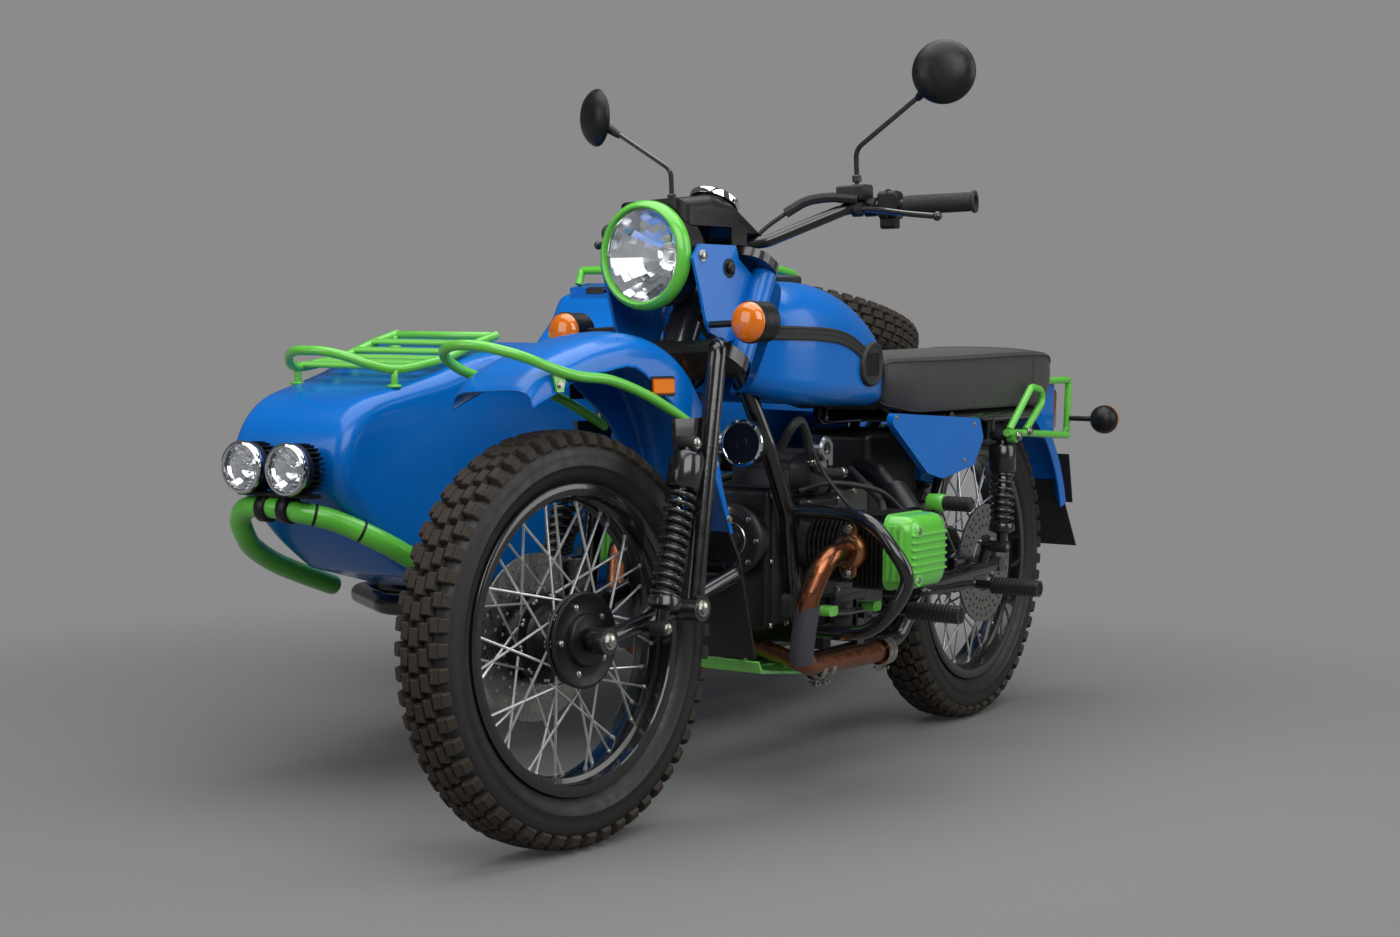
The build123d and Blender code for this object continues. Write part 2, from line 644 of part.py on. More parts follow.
# ---------------------------------------------------------------- sidecar chassis
CHASSIS_R = 20.0
CROSS_R = 19.0            # cross tubes
CHASSIS_Z = TUB_LOW - CHASSIS_R - FIT
SIDE_IN = -360.0
SIDE_OUT = -915.0
SIDE_ARM_Y = -1004.0
SIDE_SHOCK_TOP = (110.0, -980.0, 600.0)
SIDE_SHOCK_LOW = (60.0, -980.0, 388.0)


def chassis():
    """Sidecar chassis with the four struts to the motorcycle."""
    z = CHASSIS_Z
    loop = [(-110, SIDE_IN, z), (1000, SIDE_IN, z), (1075, SIDE_IN - 110, z), (1075, SIDE_OUT + 170, z),
            (960, SIDE_OUT, z), (-110, SIDE_OUT, z)]
    body = bent(loop, CHASSIS_R, 50)
    for x in (-90, 400, 900):
        body += rod((x, SIDE_OUT, z), (x, SIDE_IN, z), CROSS_R)
    body += rod((330, SIDE_OUT, z), (330, SIDE_ARM_Y + 20, z), CROSS_R)
    struts = rod((901, -DOWN_Y, 352), (901, SIDE_IN, z), 14)
    struts += rod((383, -102, 372), (383, SIDE_IN, z), 14)
    struts += rod((1015, -61, 722), (1044, SIDE_IN - 40, z), 14)
    struts += rod((200, -RAIL_Y, RAIL_Z), (190, SIDE_IN - 2, z), 14)
    return body + (struts - loops(MAIN_R + FIT) - both(bent(RAIL, MAIN_R + FIT, 60)))


def side_arm():
    """Sidecar wheel's arm with its axle."""
    arm = rod((330, SIDE_ARM_Y + 20 - FIT, CHASSIS_Z), (330, SIDE_ARM_Y - 22, CHASSIS_Z), 26)
    arm += rod((330, SIDE_ARM_Y, CHASSIS_Z), (0, SIDE_ARM_Y, AXLE_Z), 18)
    arm += rod((0, SIDE_ARM_Y + 16, AXLE_Z), (0, -TRACK + HUB_HALF + RUN, AXLE_Z), 18)
    arm += rod((0, SIDE_ARM_Y, AXLE_Z), (0, -TRACK - HUB_HALF, AXLE_Z), AXLE_R)
    x, y, z = SIDE_SHOCK_LOW
    arm += rod((x, SIDE_ARM_Y - 4, AXLE_Z), (x, SIDE_ARM_Y - 4, z), 11)
    arm += rod((x, SIDE_ARM_Y - 4, z), (x, y - EYE_HALF - FIT, z), 10)
    return arm


def side_shock():
    """Sidecar wheel's shock with its boss on the body's side."""
    x, y, z = SIDE_SHOCK_TOP
    shock = damper(SIDE_SHOCK_TOP, SIDE_SHOCK_LOW, 27, 25, 13)
    return shock + rod((x, y + 10, z), (x, TUB_Y - TUB_HALF - FIT, z), 13)


def side_fender():
    """Sidecar wheel's fender with its stays."""
    shell = arch(SIDE_FENDER_R, SIDE_FENDER_R - 4, SIDE_FENDER_HALF, 8, 172, (0, -TRACK, AXLE_Z))
    inner = -TRACK + SIDE_FENDER_HALF
    for x in (-180, 180):
        shell += rod((x, inner - 1, 676), (x, TUB_Y - TUB_HALF - FIT, 676), 9)
    return shell


SIDE_FENDER_R = 402.0
SIDE_FENDER_HALF = 84.0


def bumper():
    """Bumper tube around the nose."""
    z = CHASSIS_Z
    path = [(1075, -590, z), (1250, -590, 356), (1425, -598, 492), (1478, -604, 528), (1478, -744, 528),
            (1404, -788, 436), (1250, -772, 356), (1075, -744, z)]
    body = bent(path, 19, 42)
    return body - chassis()


def spot_lamps():
    """Two spot lamps on a plate over the bumper."""
    face_x = 1525.0
    lamps = block(1462, 1500, -735, -562, 528 + 19 + FIT, 556, 3)
    for y in (-702, -595):
        lamps += rod((1478, y, 600), (face_x, y, 600), 47)
        lamps += rod((1462, y, 600), (1480, y, 600), 40)
    return lamps


def spare_carrier():
    """Post that carries the spare wheel on the deck."""
    post = rod((0, 0, -HUB_HALF - FIT), (0, 0, -(TYRE_HALF + SPARE_GAP) + FIT), 30)
    post += rod((0, 0, -60), (0, 0, HUB_HALF + 12), AXLE_R)
    post += rod((0, 0, HUB_HALF + FIT), (0, 0, HUB_HALF + 14), 26)
    return at_spare(post)


def at_spare(shape):
    """A piece built about the spare wheel's centre, its axis along Z, moved to its place."""
    return Pos(SPARE_X, SPARE_Y, SPARE_Z) * Rot(0, -SPARE_LEAN, 0) * shape


# ---------------------------------------------------------------- fork group, wheel straight ahead
LEG_Y = 120.0             # fork legs
LEG_R = 17.0
LINK_Y = 86.0             # leading link's arms
LINK_R = 15.0
LINK_PIVOT = (1300.0, 380.0)
SHOCK_FRONT_Y = 128.0
SHOCK_FRONT_TOP = (1306.0, SHOCK_FRONT_Y, 658.0)
SHOCK_FRONT_LOW = (1400.0, SHOCK_FRONT_Y, 357.0)
EYE_HALF = 15.0
BAR_R = 11.0
BAR_POINTS = [(1035, 0, 1003), (1035, 46, 1003), (1010, 88, 1008), (909, 192, 1063), (846, 412, 1061)]
FENDER_HALF = 84.0
LAMP_X = 1240.0
LAMP_Z = 982.0
LAMP_R = 95.0


def clamp_plate(z, back, front, thick):
    """Fork clamp: a plate square to the steering axis."""
    plane = Plane(origin=(steer_x(z), 0, z), x_dir=(cos(radians(RAKE)), 0, sin(radians(RAKE))),
                  z_dir=tuple(RAKE_DIR))
    face = Pos((front - back) / 2, 0) * RectangleRounded(front + back, 2 * (LEG_Y + 22), 36)
    return extrude(plane * face, thick)


def fork():
    """Stem, clamps, legs, link pivots and the brackets that hold the shocks' upper eyes."""
    stem = rod((steer_x(790), 0, 790), (steer_x(990), 0, 990), STEM_R)
    body = stem + clamp_plate(790, 52, 46, 24) + clamp_plate(966, 58, 30, 16)
    leg = bent([(1165, 84, 806), (1205, LEG_Y, 828), (1216, LEG_Y, 785), (1300, LEG_Y, 380)], LEG_R, 20)
    body += both(leg)
    body += both(rod((LINK_PIVOT[0], LEG_Y - 18, LINK_PIVOT[1]), (LINK_PIVOT[0], LEG_Y + 20, LINK_PIVOT[1]), 22))
    plate_y1 = SHOCK_FRONT_Y - EYE_HALF - FIT
    body += both(block(1240, 1322, 104.8, plate_y1, 648, 700))
    body += both(rod((SHOCK_FRONT_TOP[0], 105, 658), (SHOCK_FRONT_TOP[0], plate_y1, 658), 14))
    return body


def leading_link():
    """U-shaped link: axle, arms, pivots and the cross tube behind the wheel."""
    half = [(WHEELBASE, LINK_Y, AXLE_Z), (1400, LINK_Y, 362), (LINK_PIVOT[0], LINK_Y, 380), (1140, LINK_Y, 422),
            (1112, 60, 430)]
    path = half + [(x, -y, z) for x, y, z in reversed(half)]
    link = bent(path, LINK_R, 16)
    link += both(rod((LINK_PIVOT[0], LINK_Y - 15, 380), (LINK_PIVOT[0], LEG_Y - 18 - FIT, 380), 22))
    link += both(rod((WHEELBASE, LINK_Y - 15, AXLE_Z), (WHEELBASE, LINK_Y + 17, AXLE_Z), 22))
    link += both(rod((WHEELBASE, HUB_HALF + RUN, AXLE_Z), (WHEELBASE, LINK_Y - 10, AXLE_Z), 15))
    link += rod((WHEELBASE, -80, AXLE_Z), (WHEELBASE, 80, AXLE_Z), AXLE_R)
    link += both(rod((SHOCK_FRONT_LOW[0], LINK_Y, 357), (SHOCK_FRONT_LOW[0], SHOCK_FRONT_Y - EYE_HALF - FIT, 357), 12))
    return link


def fender_face(points, radius, lower, lower_radius):
    """Side face between a fender's crown line and its lower edge."""
    crown = FilletPolyline(*points, radius=radius)
    edge = FilletPolyline(*lower, radius=lower_radius)
    return make_face([crown, edge, Line(crown @ 1, edge @ 0), Line(edge @ 1, crown @ 0)])


def front_fender():
    """Front fender: a channel with a round crown, deeper beside the fork."""
    t = 4.0
    crown = [(1748, 736), (1655, 812), (1400, 860), (1218, 798), (1150, 640), (1116, 492)]
    edge = [(1146, 492), (1185, 590), (1262, 700), (1390, 792), (1540, 770), (1630, 724), (1712, 750), (1746, 730)]
    inner_crown = [(1752, 728), (1653, 808), (1400, 855.9), (1221, 795.2), (1154, 639), (1119, 486)]
    outer = fender_face(crown, 120, edge, 18)
    inner = make_face([FilletPolyline(*inner_crown, radius=118), Polyline((1119, 486), (1400, 400), (1752, 728))])
    plane = Plane(origin=(0, FENDER_HALF, 0), x_dir=(1, 0, 0), z_dir=(0, -1, 0))
    shell = extrude(plane * outer, 2 * FENDER_HALF)
    hollow = extrude(plane.offset(t) * inner, 2 * (FENDER_HALF - t))
    crown_wire = FilletPolyline(*crown, radius=120)
    near = [e for e in shell.edges() if abs((e % 0.5).Y) < 0.1
            and crown_wire.distance_to(Vertex((e @ 0.5).X, (e @ 0.5).Z, 0)) < 0.5]
    shell = fillet(near, 26)
    inner_wire = FilletPolyline(*inner_crown, radius=118)
    near = [e for e in hollow.edges() if abs((e % 0.5).Y) < 0.1
            and inner_wire.distance_to(Vertex((e @ 0.5).X, (e @ 0.5).Z, 0)) < 0.5]
    hollow = fillet(near, 22)
    return shell - hollow


def front_flap():
    """Mudflap hung behind the front fender."""
    return slab_xz([(1122, 520), (1115.6, 492), (1090, 446), (1052, 262), (1046, 262), (1084, 448), (1109.6, 494),
                    (1116, 520)], -60, 60)


def fender_guard():
    """Guard tube along both sides of the front fender and over its front."""
    half = [(1264, 95, 690), (1390, 95, 744), (1500, 95, 774), (1602, 95, 780), (1648, 95, 834), (1680, 52, 848)]
    path = half + [(x, -y, z) for x, y, z in reversed(half)]
    guard = bent(path, 9.5, 26)
    guard += both(block(1580, 1600, FENDER_HALF + FIT, 95, 768, 782))
    return guard


# ---------------------------------------------------------------- lamp, covers and handlebar
def headlamp_bucket():
    """Lamp bucket with its reflector's hollow."""
    pts = [(LAMP_X, 90), (1196, 88), (1160, 66), (1142, 36), (1142, 0), (1152, 0), (1168, 40), (1204, 72), (LAMP_X, 79)]
    face = make_face(Polyline(*pts, close=True))
    return Pos(0, 0, LAMP_Z) * revolve(face, Axis.X, 360)


def headlamp_ring():
    """Trim ring in front of the bucket."""
    pts = [(LAMP_X + FIT, LAMP_R), (1256, LAMP_R), (1266, 88), (1262, 80.3), (LAMP_X + FIT, 80.3)]
    face = make_face(Polyline(*pts, close=True))
    return Pos(0, 0, LAMP_Z) * revolve(face, Axis.X, 360)


def domed(r, depth, base):
    """Lens about X: a short rim of the radius r, then a dome of flats."""
    pts = [(0, 0), (0, r), (base, r), (base + 0.45 * depth, 0.86 * r), (base + 0.8 * depth, 0.55 * r),
           (base + depth, 0.2 * r), (base + depth, 0)]
    return revolve(make_face(Polyline(*pts, close=True)), Axis.X, 360)


def headlamp_lens():
    """Slightly domed lens inside the ring."""
    return Pos(1252, 0, LAMP_Z) * domed(80, 14, 3)


def fork_covers():
    """Upper fork covers: a tube on each side with a plate that holds the lamp."""
    ahead = Vector(cos(radians(RAKE)), 0, sin(radians(RAKE)))
    low = Vector(steer_x(790), 112, 790) + RAKE_DIR * (24 + FIT) - ahead * 38
    length = (966 - 790) / cos(radians(RAKE)) - 24 - 2 * FIT
    side = rod(tuple(low), tuple(low + RAKE_DIR * length), 22)
    plate = slab_xz([(1228, 996), (1248, 972), (1232, 920), (1218, 868), (1206, 844), (1160, 828), (1128, 836),
                     (1070, 938), (1118, 972), (1126, 996)], 98, 104)
    boss = rod((1206, LAMP_R - 5.7, LAMP_Z), (1206, 99, LAMP_Z), 9)
    return both(side + plate + boss) - clamp_plate(965.6, 59, 31, 17)


def nacelle():
    """Cover over the lamp and the upper clamp."""
    outline = [(1234, 1000), (1234, 1078), (1150, 1086), (1080, 1074), (996, 1024), (978, 1012), (978, 1000)]
    cover = slab_xz(outline, -76, 76)
    ridge = [e for e in cover.edges() if abs(abs((e @ 0.5).Y) - 76) < 0.1 and (e @ 0.5).Z > 1012]
    cover = fillet(ridge, 24)
    inside = [(1230, 995), (1230, 1072), (1150, 1080), (1084, 1068), (1000, 1019), (986, 1006), (986, 995)]
    cover -= fillet(slab_xz(inside, -71, 71).edges().filter_by(lambda e: abs(abs((e @ 0.5).Y) - 71) < 0.1
                                                               and (e @ 0.5).Z > 1012), 19)
    cover -= rod((1100, 0, LAMP_Z), (1300, 0, LAMP_Z), 90 + FIT)
    cover -= block(1000, 1056, -100, 100, 990, 1022)
    return cover - extrude(GAUGE_PLANE * Circle(GAUGE_R + FIT), 60, both=True)


GAUGE_R = 40.0
GAUGE_PLANE = Plane(origin=(1062, 0, 1058), z_dir=(-0.5, 0, 0.87))


def gauge():
    """Round instrument in the cover."""
    dial = extrude(GAUGE_PLANE.offset(-8) * Circle(GAUGE_R), 38)
    return dial + extrude(GAUGE_PLANE.offset(22) * Circle(GAUGE_R + 5), 10)


def handlebar():
    """Handlebar with its two risers."""
    path = BAR_POINTS[1:]
    full = [(x, -y, z) for x, y, z in reversed(path)] + path
    bar = bent(full, BAR_R, 34)
    ahead = Vector(cos(radians(RAKE)), 0, sin(radians(RAKE)))
    foot = Vector(steer_x(966), 0, 966) + RAKE_DIR * (16 + FIT) - ahead * 31
    for y in (-32, 32):
        low = foot + Vector(0, y, 0)
        bar += rod(tuple(low), tuple(low + RAKE_DIR * 42), 12)
    return bar


def bar_point(y):
    """Point on the handlebar's outer run at the distance y from the middle."""
    (x0, y0, z0), (x1, y1, z1) = BAR_POINTS[3:5]
    k = (y - y0) / (y1 - y0)
    return (x0 + k * (x1 - x0), y, z0 + k * (z1 - z0))


def sleeve(y0, y1, r, bore):
    """Sleeve on the handlebar's outer run."""
    a = bar_point(y0)
    b = bar_point(y1)
    return pipe(a, b, r, bore)


def grip():
    """Left grip."""
    return sleeve(296, 416, 17, BAR_R + FIT) + sleeve(412, 420, 20, BAR_R + FIT)


def controls():
    """Left switch housing, perch and lever."""
    box = sleeve(252, 288, 24, BAR_R + FIT)
    perch = sleeve(226, 246, 17, BAR_R + FIT)
    x, y, z = bar_point(236)
    perch += rod((x + 16, y, z), (x + 34, y, z - 4), 9)
    lever = bent([(x + 32, y, z - 4), (x + 40, 285, z - 12), (x + 22, 380, z - 28)], 5.5, 20)
    lever += Pos(x + 22, 380, z - 28) * Sphere(9)
    return box + perch + lever


MIRROR_R = 56.0


def mirror_left():
    """Left mirror: stalk and round back."""
    x, y, z = bar_point(212)
    stalk = pipe(bar_point(203), bar_point(221), 16, BAR_R + FIT)
    stalk += bent([(x, y, z + 14.5), (x, y, z + 100), (x - 6, 352, z + 190)], 5, 24)
    back = Plane(origin=(x - 6, 396, z + 222), z_dir=(cos(radians(24)), sin(radians(24)), 0))
    dish = extrude(back * Circle(MIRROR_R), 14)
    dish += extrude(back.offset(14) * Circle(MIRROR_R), 12, taper=45)
    return stalk + dish + rod((x - 6, 346, z + 186), (x, 372, z + 206), 7)


def front_signal():
    """Left front turn signal: stem and housing."""
    stem = rod((1206, 104 + FIT, 858), (1206, 206, 858), 6)
    housing = rod((1190, 206, 858), (1226, 206, 858), 35)
    return stem + housing


def signal_lens():
    """Left front turn signal's lens."""
    return Pos(1226 + FIT, 206, 858) * domed(34, 20, 8)


# ---------------------------------------------------------------- what turns with each wheel
DISC_Y = 56.0
DISC_T = 4.0


def hub_cover():
    """Round cover over the front hub's left side."""
    pts = [(16, HUB_HALF + FIT), (78, HUB_HALF + FIT), (80, HUB_HALF + 4), (64, HUB_HALF + 9), (30, HUB_HALF + 15),
           (16, HUB_HALF + 15)]
    return turned(pts, (0, 0, 0))


def brake_disc(r):
    """Brake disc with its bell, on the wheel's left side."""
    bell = turned([(19, HUB_HALF + FIT), (64, HUB_HALF + FIT), (64, DISC_Y + 1), (56, DISC_Y + 1), (56, 50), (19, 50)],
                  (0, 0, 0))
    return bell + disc(r, 60, DISC_Y, DISC_Y + DISC_T, 24, 5, r - 22)


def front_caliper():
    """Front brake's caliper on the right arm of the link."""
    body = block(1370, 1424, -82, -42, 404, 474, 6)
    body -= block(1300, 1500, -DISC_Y - DISC_T - 4, -DISC_Y + 4, 300, 464)
    body += block(1380, 1412, -98, -68, 374, 424)
    return body - leading_link()


# ---------------------------------------------------------------- assembly
FRONT = Pos(WHEELBASE, 0, AXLE_Z)
REAR = Pos(0, 0, AXLE_Z)
SIDE = Pos(0, -TRACK, AXLE_Z)
SHIFT = (-557.0, 383.0, 0.0)   # from the motorcycle's frame to the middle of the whole


def steered(shape):
    """A piece of the fork group, turned to its rest angle about the steering axis."""
    turned_fork = shape.rotate(Axis(STEER_POINT, RAKE_DIR), STEER_REST)
    return Pos(*(RAKE_DIR * STEER_RISE)) * turned_fork


def flat_wheel(shape):
    """A wheel piece with its axis turned from Y to Z."""
    return Rot(90, 0, 0) * shape


def group(*shapes):
    """Several pieces that don't touch, as one node."""
    return Compound(children=[solid for shape in shapes for solid in shape.solids()])


FIXED = [
    ("main_frame", main_frame()),
    ("engine", group(crankcase(), both(cylinder()))),
    ("rocker_covers", both(rocker_cover())),
    ("exhaust_pipes", group(exhaust(), silencer())),
    ("crash_bars", both(crash_bar())),
    ("skid_plate", skid_plate()),
    ("airbox", airbox()),
    ("fuel_tank", tank() + tank_cap()),
    ("bench_seat", seat_bench()),
    ("side_covers", both(side_cover())),
    ("rear_fender", group(rear_fender(), tail_box())),
    ("tail_lamp", tail_lamp()),
    ("plate_and_flap", group(plate_bracket(), rear_flap())),
    ("grab_rails", grab_rails()),
    ("rear_signals", both(rear_signal())),
    ("swing_arm", swing_arm()),
    ("rear_shocks", both(damper(SHOCK_REAR_TOP, SHOCK_REAR_LOW, 30, 27, 13))),
    ("foot_pegs", group(both(foot_peg()), both(pillion_peg()))),
    ("kick_lever", kick_lever()),
    ("horns", horn()),
    ("sidecar_tub", group(tub(), lid_hinge(), spare_carrier())),
    ("nose_rack", nose_rack()),
    ("cockpit_seat", cushions()),
    ("sidecar_chassis", chassis()),
    ("sidecar_arm", group(side_arm(), side_shock())),
    ("sidecar_fender", side_fender()),
    ("bumper", bumper()),
    ("spot_lamps", spot_lamps()),
    ("spare_tyre", at_spare(flat_wheel(tyre()))),
    ("spare_wheel", at_spare(flat_wheel(wire_wheel()))),
]
LID = [
    ("trunk_lid", trunk_lid()),
    ("trunk_rack", trunk_rack()),
]
FORK = [
    ("fork", fork()),
    ("leading_link", group(leading_link(), front_caliper())),
    ("front_shocks", both(damper(SHOCK_FRONT_TOP, SHOCK_FRONT_LOW, 30, 27, 13))),
    ("front_fender", front_fender()),
    ("front_flap", front_flap()),
    ("fender_guard", fender_guard()),
    ("fork_covers", fork_covers()),
    ("headlamp_bucket", headlamp_bucket()),
    ("headlamp_ring", headlamp_ring()),
    ("headlamp_lens", headlamp_lens()),
    ("nacelle", group(nacelle(), gauge())),
    ("handlebar", handlebar()),
    ("hand_controls", group(both(grip()), both(controls()))),
    ("mirrors", both(mirror_left())),
    ("front_signals", both(front_signal())),
    ("signal_lenses", both(signal_lens())),
    ("front_tyre", FRONT * tyre()),
    ("front_wheel", group(FRONT * wire_wheel(), FRONT * hub_cover(), FRONT * mirrored(brake_disc(140)))),
]
WHEELS = [
    ("rear_tyre", REAR * tyre()),
    ("rear_wheel", group(REAR * wire_wheel(), REAR * brake_disc(130))),
    ("sidecar_tyre", SIDE * tyre()),
    ("sidecar_wheel", group(SIDE * wire_wheel(), SIDE * brake_disc(130))),
]

os.makedirs("parts", exist_ok=True)
for name, shape in FIXED + LID + WHEELS + [(n, steered(s)) for n, s in FORK]:
    export_step(Pos(*SHIFT) * shape, f"parts/{name}.step")
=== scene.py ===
"""Sidecar motorcycle with a flat twin: its paint, metal, rubber and fine pieces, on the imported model.

Pieces are drawn in millimetres in the motorcycle's own frame (rear wheel's ground point at X = 0, its
middle plane at Y = 0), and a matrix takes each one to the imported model's frame in metres.
"""
import math

import bmesh
import bpy
from mathutils import Matrix, Vector
from mathutils.bvhtree import BVHTree


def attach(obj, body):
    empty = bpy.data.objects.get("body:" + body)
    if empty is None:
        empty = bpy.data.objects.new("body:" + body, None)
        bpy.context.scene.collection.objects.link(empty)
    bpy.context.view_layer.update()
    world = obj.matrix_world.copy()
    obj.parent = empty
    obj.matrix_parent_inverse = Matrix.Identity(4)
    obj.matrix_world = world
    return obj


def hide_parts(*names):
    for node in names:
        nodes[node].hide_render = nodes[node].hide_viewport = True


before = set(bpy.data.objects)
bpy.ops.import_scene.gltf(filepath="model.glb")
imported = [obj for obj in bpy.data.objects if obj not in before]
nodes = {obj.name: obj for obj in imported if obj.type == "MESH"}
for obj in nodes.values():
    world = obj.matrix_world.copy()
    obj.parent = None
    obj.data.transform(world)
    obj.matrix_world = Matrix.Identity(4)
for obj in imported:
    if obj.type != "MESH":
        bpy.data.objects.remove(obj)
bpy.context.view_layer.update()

# ---------------------------------------------------------------- places
def shifted_by(x, y, z):
    """Matrix that moves by X, Y and Z."""
    return Matrix.Translation((x, y, z))


def turned_by(degrees, axis):
    """Matrix that turns about an axis through the origin."""
    return Matrix.Rotation(math.radians(degrees), 4, axis)


def tipped(way):
    """Matrix that turns +Y to a direction."""
    return Vector((0, 1, 0)).rotation_difference(Vector(way)).to_matrix().to_4x4()


def aimed(start, end):
    """Matrix that takes +Z at the origin to the line from start to end."""
    a, b = Vector(start), Vector(end)
    return Matrix.Translation(a) @ (b - a).to_track_quat("Z", "Y").to_matrix().to_4x4()


def along(start, end):
    """Matrix that takes +Y at the origin to the line from start to end."""
    return aimed(start, end) @ turned_by(90, "X")


WHEEL_RADIUS = 345
SIDECAR_MIDDLE = -665
SIDECAR_TRACK = -1135
RAKE = math.radians(28)
FORK_TURN = -6.5        # degrees from straight ahead at rest
FORK_RISE = 1.6         # along the steering axis
BIKE = Matrix.Scale(0.001, 4) @ shifted_by(-557, 383, 0)
SIDECAR = BIKE @ shifted_by(0, SIDECAR_MIDDLE, 0)
STEER_AXIS = Vector((-math.sin(RAKE), 0, math.cos(RAKE)))
STEER_FOOT = Vector((1420, 0, WHEEL_RADIUS))
FORK = (BIKE @ Matrix.Translation(STEER_AXIS * FORK_RISE) @ Matrix.Translation(STEER_FOOT)
        @ turned_by(FORK_TURN, STEER_AXIS) @ Matrix.Translation(-STEER_FOOT))
FRONT_HUB = FORK @ shifted_by(1500, 0, WHEEL_RADIUS)
REAR_HUB = BIKE @ shifted_by(0, 0, WHEEL_RADIUS)
SIDE_HUB = BIKE @ shifted_by(0, SIDECAR_TRACK, WHEEL_RADIUS)
SPARE_SPOT = (-391, -25, 842)       # the spare wheel's middle, from the sidecar's middle plane
SPARE_TILT = -15
SPARE_HUB = (BIKE @ shifted_by(SPARE_SPOT[0], SIDECAR_MIDDLE + SPARE_SPOT[1], SPARE_SPOT[2])
             @ turned_by(SPARE_TILT, "Y") @ turned_by(90, "X"))
MIRRORED = Matrix.Scale(-1, 4, (0, 1, 0))
SIDES = (1, -1)                     # left, right


# ---------------------------------------------------------------- node trees
def add(tree, kind, props=None, **sockets):
    """Adds a node, sets its properties, and fills its sockets with values or other nodes' outputs."""
    node = tree.nodes.new(kind)
    for key, value in (props or {}).items():
        setattr(node, key, value)
    for key, value in sockets.items():
        place = int(key[1:]) if key[0] == "n" and key[1:].isdigit() else key.replace("_", " ")
        if isinstance(value, bpy.types.NodeSocket):
            tree.links.new(value, node.inputs[place])
        else:
            node.inputs[place].default_value = value
    return node


def tree_with(name, sockets):
    """Geometry tree with named inputs; gives the tree and its input node."""
    tree = bpy.data.node_groups.new(name, "GeometryNodeTree")
    tree.interface.new_socket(name="Geometry", in_out="INPUT", socket_type="NodeSocketGeometry")
    for label, kind in sockets:
        tree.interface.new_socket(name=label, in_out="INPUT", socket_type="NodeSocket" + kind)
    tree.interface.new_socket(name="Finish", in_out="INPUT", socket_type="NodeSocketMaterial")
    tree.interface.new_socket(name="Geometry", in_out="OUTPUT", socket_type="NodeSocketGeometry")
    return tree, add(tree, "NodeGroupInput")


def end_tree(tree, given, made):
    """Realizes the instances, gives them their finish and ends the tree."""
    real = add(tree, "GeometryNodeRealizeInstances", n0=made)
    done = add(tree, "GeometryNodeSetMaterial", Geometry=real.outputs[0], Material=given.outputs["Finish"])
    add(tree, "NodeGroupOutput", n0=done.outputs[0])
    return tree


def copies_tree():
    """Copies of the piece, each moved by Step and turned by Turn from the last."""
    tree, given = tree_with("copies", (("Copies", "Int"), ("Step", "Vector"), ("Turn", "Vector")))
    index = add(tree, "GeometryNodeInputIndex")
    move = add(tree, "ShaderNodeVectorMath", {"operation": "SCALE"}, n0=given.outputs["Step"],
               Scale=index.outputs[0])
    turn = add(tree, "ShaderNodeVectorMath", {"operation": "SCALE"}, n0=given.outputs["Turn"],
               Scale=index.outputs[0])
    way = add(tree, "FunctionNodeEulerToRotation", n0=turn.outputs[0])
    spots = add(tree, "GeometryNodePoints", Count=given.outputs["Copies"], Position=move.outputs[0])
    laid = add(tree, "GeometryNodeInstanceOnPoints", Points=spots.outputs[0],
               Instance=given.outputs["Geometry"], Rotation=way.outputs[0])
    return end_tree(tree, given, laid.outputs[0])


def coil_tree():
    """Coil spring about +Z."""
    tree, given = tree_with("coil", (("Turns", "Float"), ("Radius", "Float"), ("Height", "Float"),
                                     ("Wire", "Float")))
    line = add(tree, "GeometryNodeCurveSpiral", Resolution=20, Rotations=given.outputs["Turns"],
               Start_Radius=given.outputs["Radius"], End_Radius=given.outputs["Radius"],
               Height=given.outputs["Height"])
    round_wire = add(tree, "GeometryNodeCurvePrimitiveCircle", Resolution=10, Radius=given.outputs["Wire"])
    wire = add(tree, "GeometryNodeCurveToMesh", Curve=line.outputs[0], Profile_Curve=round_wire.outputs[0],
               Fill_Caps=True)
    return end_tree(tree, given, wire.outputs[0])


def stitch_tree():
    """Stitches along the piece's edges."""
    tree, given = tree_with("stitches", (("Spacing", "Float"), ("Length", "Float"), ("Thread", "Float")))
    line = add(tree, "GeometryNodeMeshToCurve", Mesh=given.outputs["Geometry"])
    spots = add(tree, "GeometryNodeResampleCurve", {"mode": "LENGTH"}, Curve=line.outputs[0],
                Length=given.outputs["Spacing"])
    tangent = add(tree, "GeometryNodeInputTangent")
    way = add(tree, "FunctionNodeAlignRotationToVector", {"axis": "Z"}, Vector=tangent.outputs[0])
    half = add(tree, "ShaderNodeMath", {"operation": "MULTIPLY"}, n0=given.outputs["Thread"], n1=0.5)
    stitch = add(tree, "GeometryNodeMeshCylinder", Vertices=6, Radius=half.outputs[0],
                 Depth=given.outputs["Length"])
    laid = add(tree, "GeometryNodeInstanceOnPoints", Points=spots.outputs[0], Instance=stitch.outputs[0],
               Rotation=way.outputs[0])
    return end_tree(tree, given, laid.outputs[0])


COPIES = copies_tree()
COIL = coil_tree()
STITCHES = stitch_tree()


def grown(piece, tree, finish, **values):
    """Runs a geometry tree on a piece and keeps what it makes as the piece's mesh."""
    changer = piece.modifiers.new(tree.name, "NODES")
    changer.node_group = tree
    values["Finish"] = finish
    for item in tree.interface.items_tree:
        if item.in_out == "INPUT" and item.name in values:
            changer[item.identifier] = values[item.name]
    bpy.context.view_layer.update()
    graph = bpy.context.evaluated_depsgraph_get()
    made = bpy.data.meshes.new_from_object(piece.evaluated_get(graph), depsgraph=graph)
    made.materials.clear()
    made.materials.append(finish)
    made.polygons.foreach_set("material_index", [0] * len(made.polygons))
    piece.modifiers.clear()
    piece.data = made
    return piece


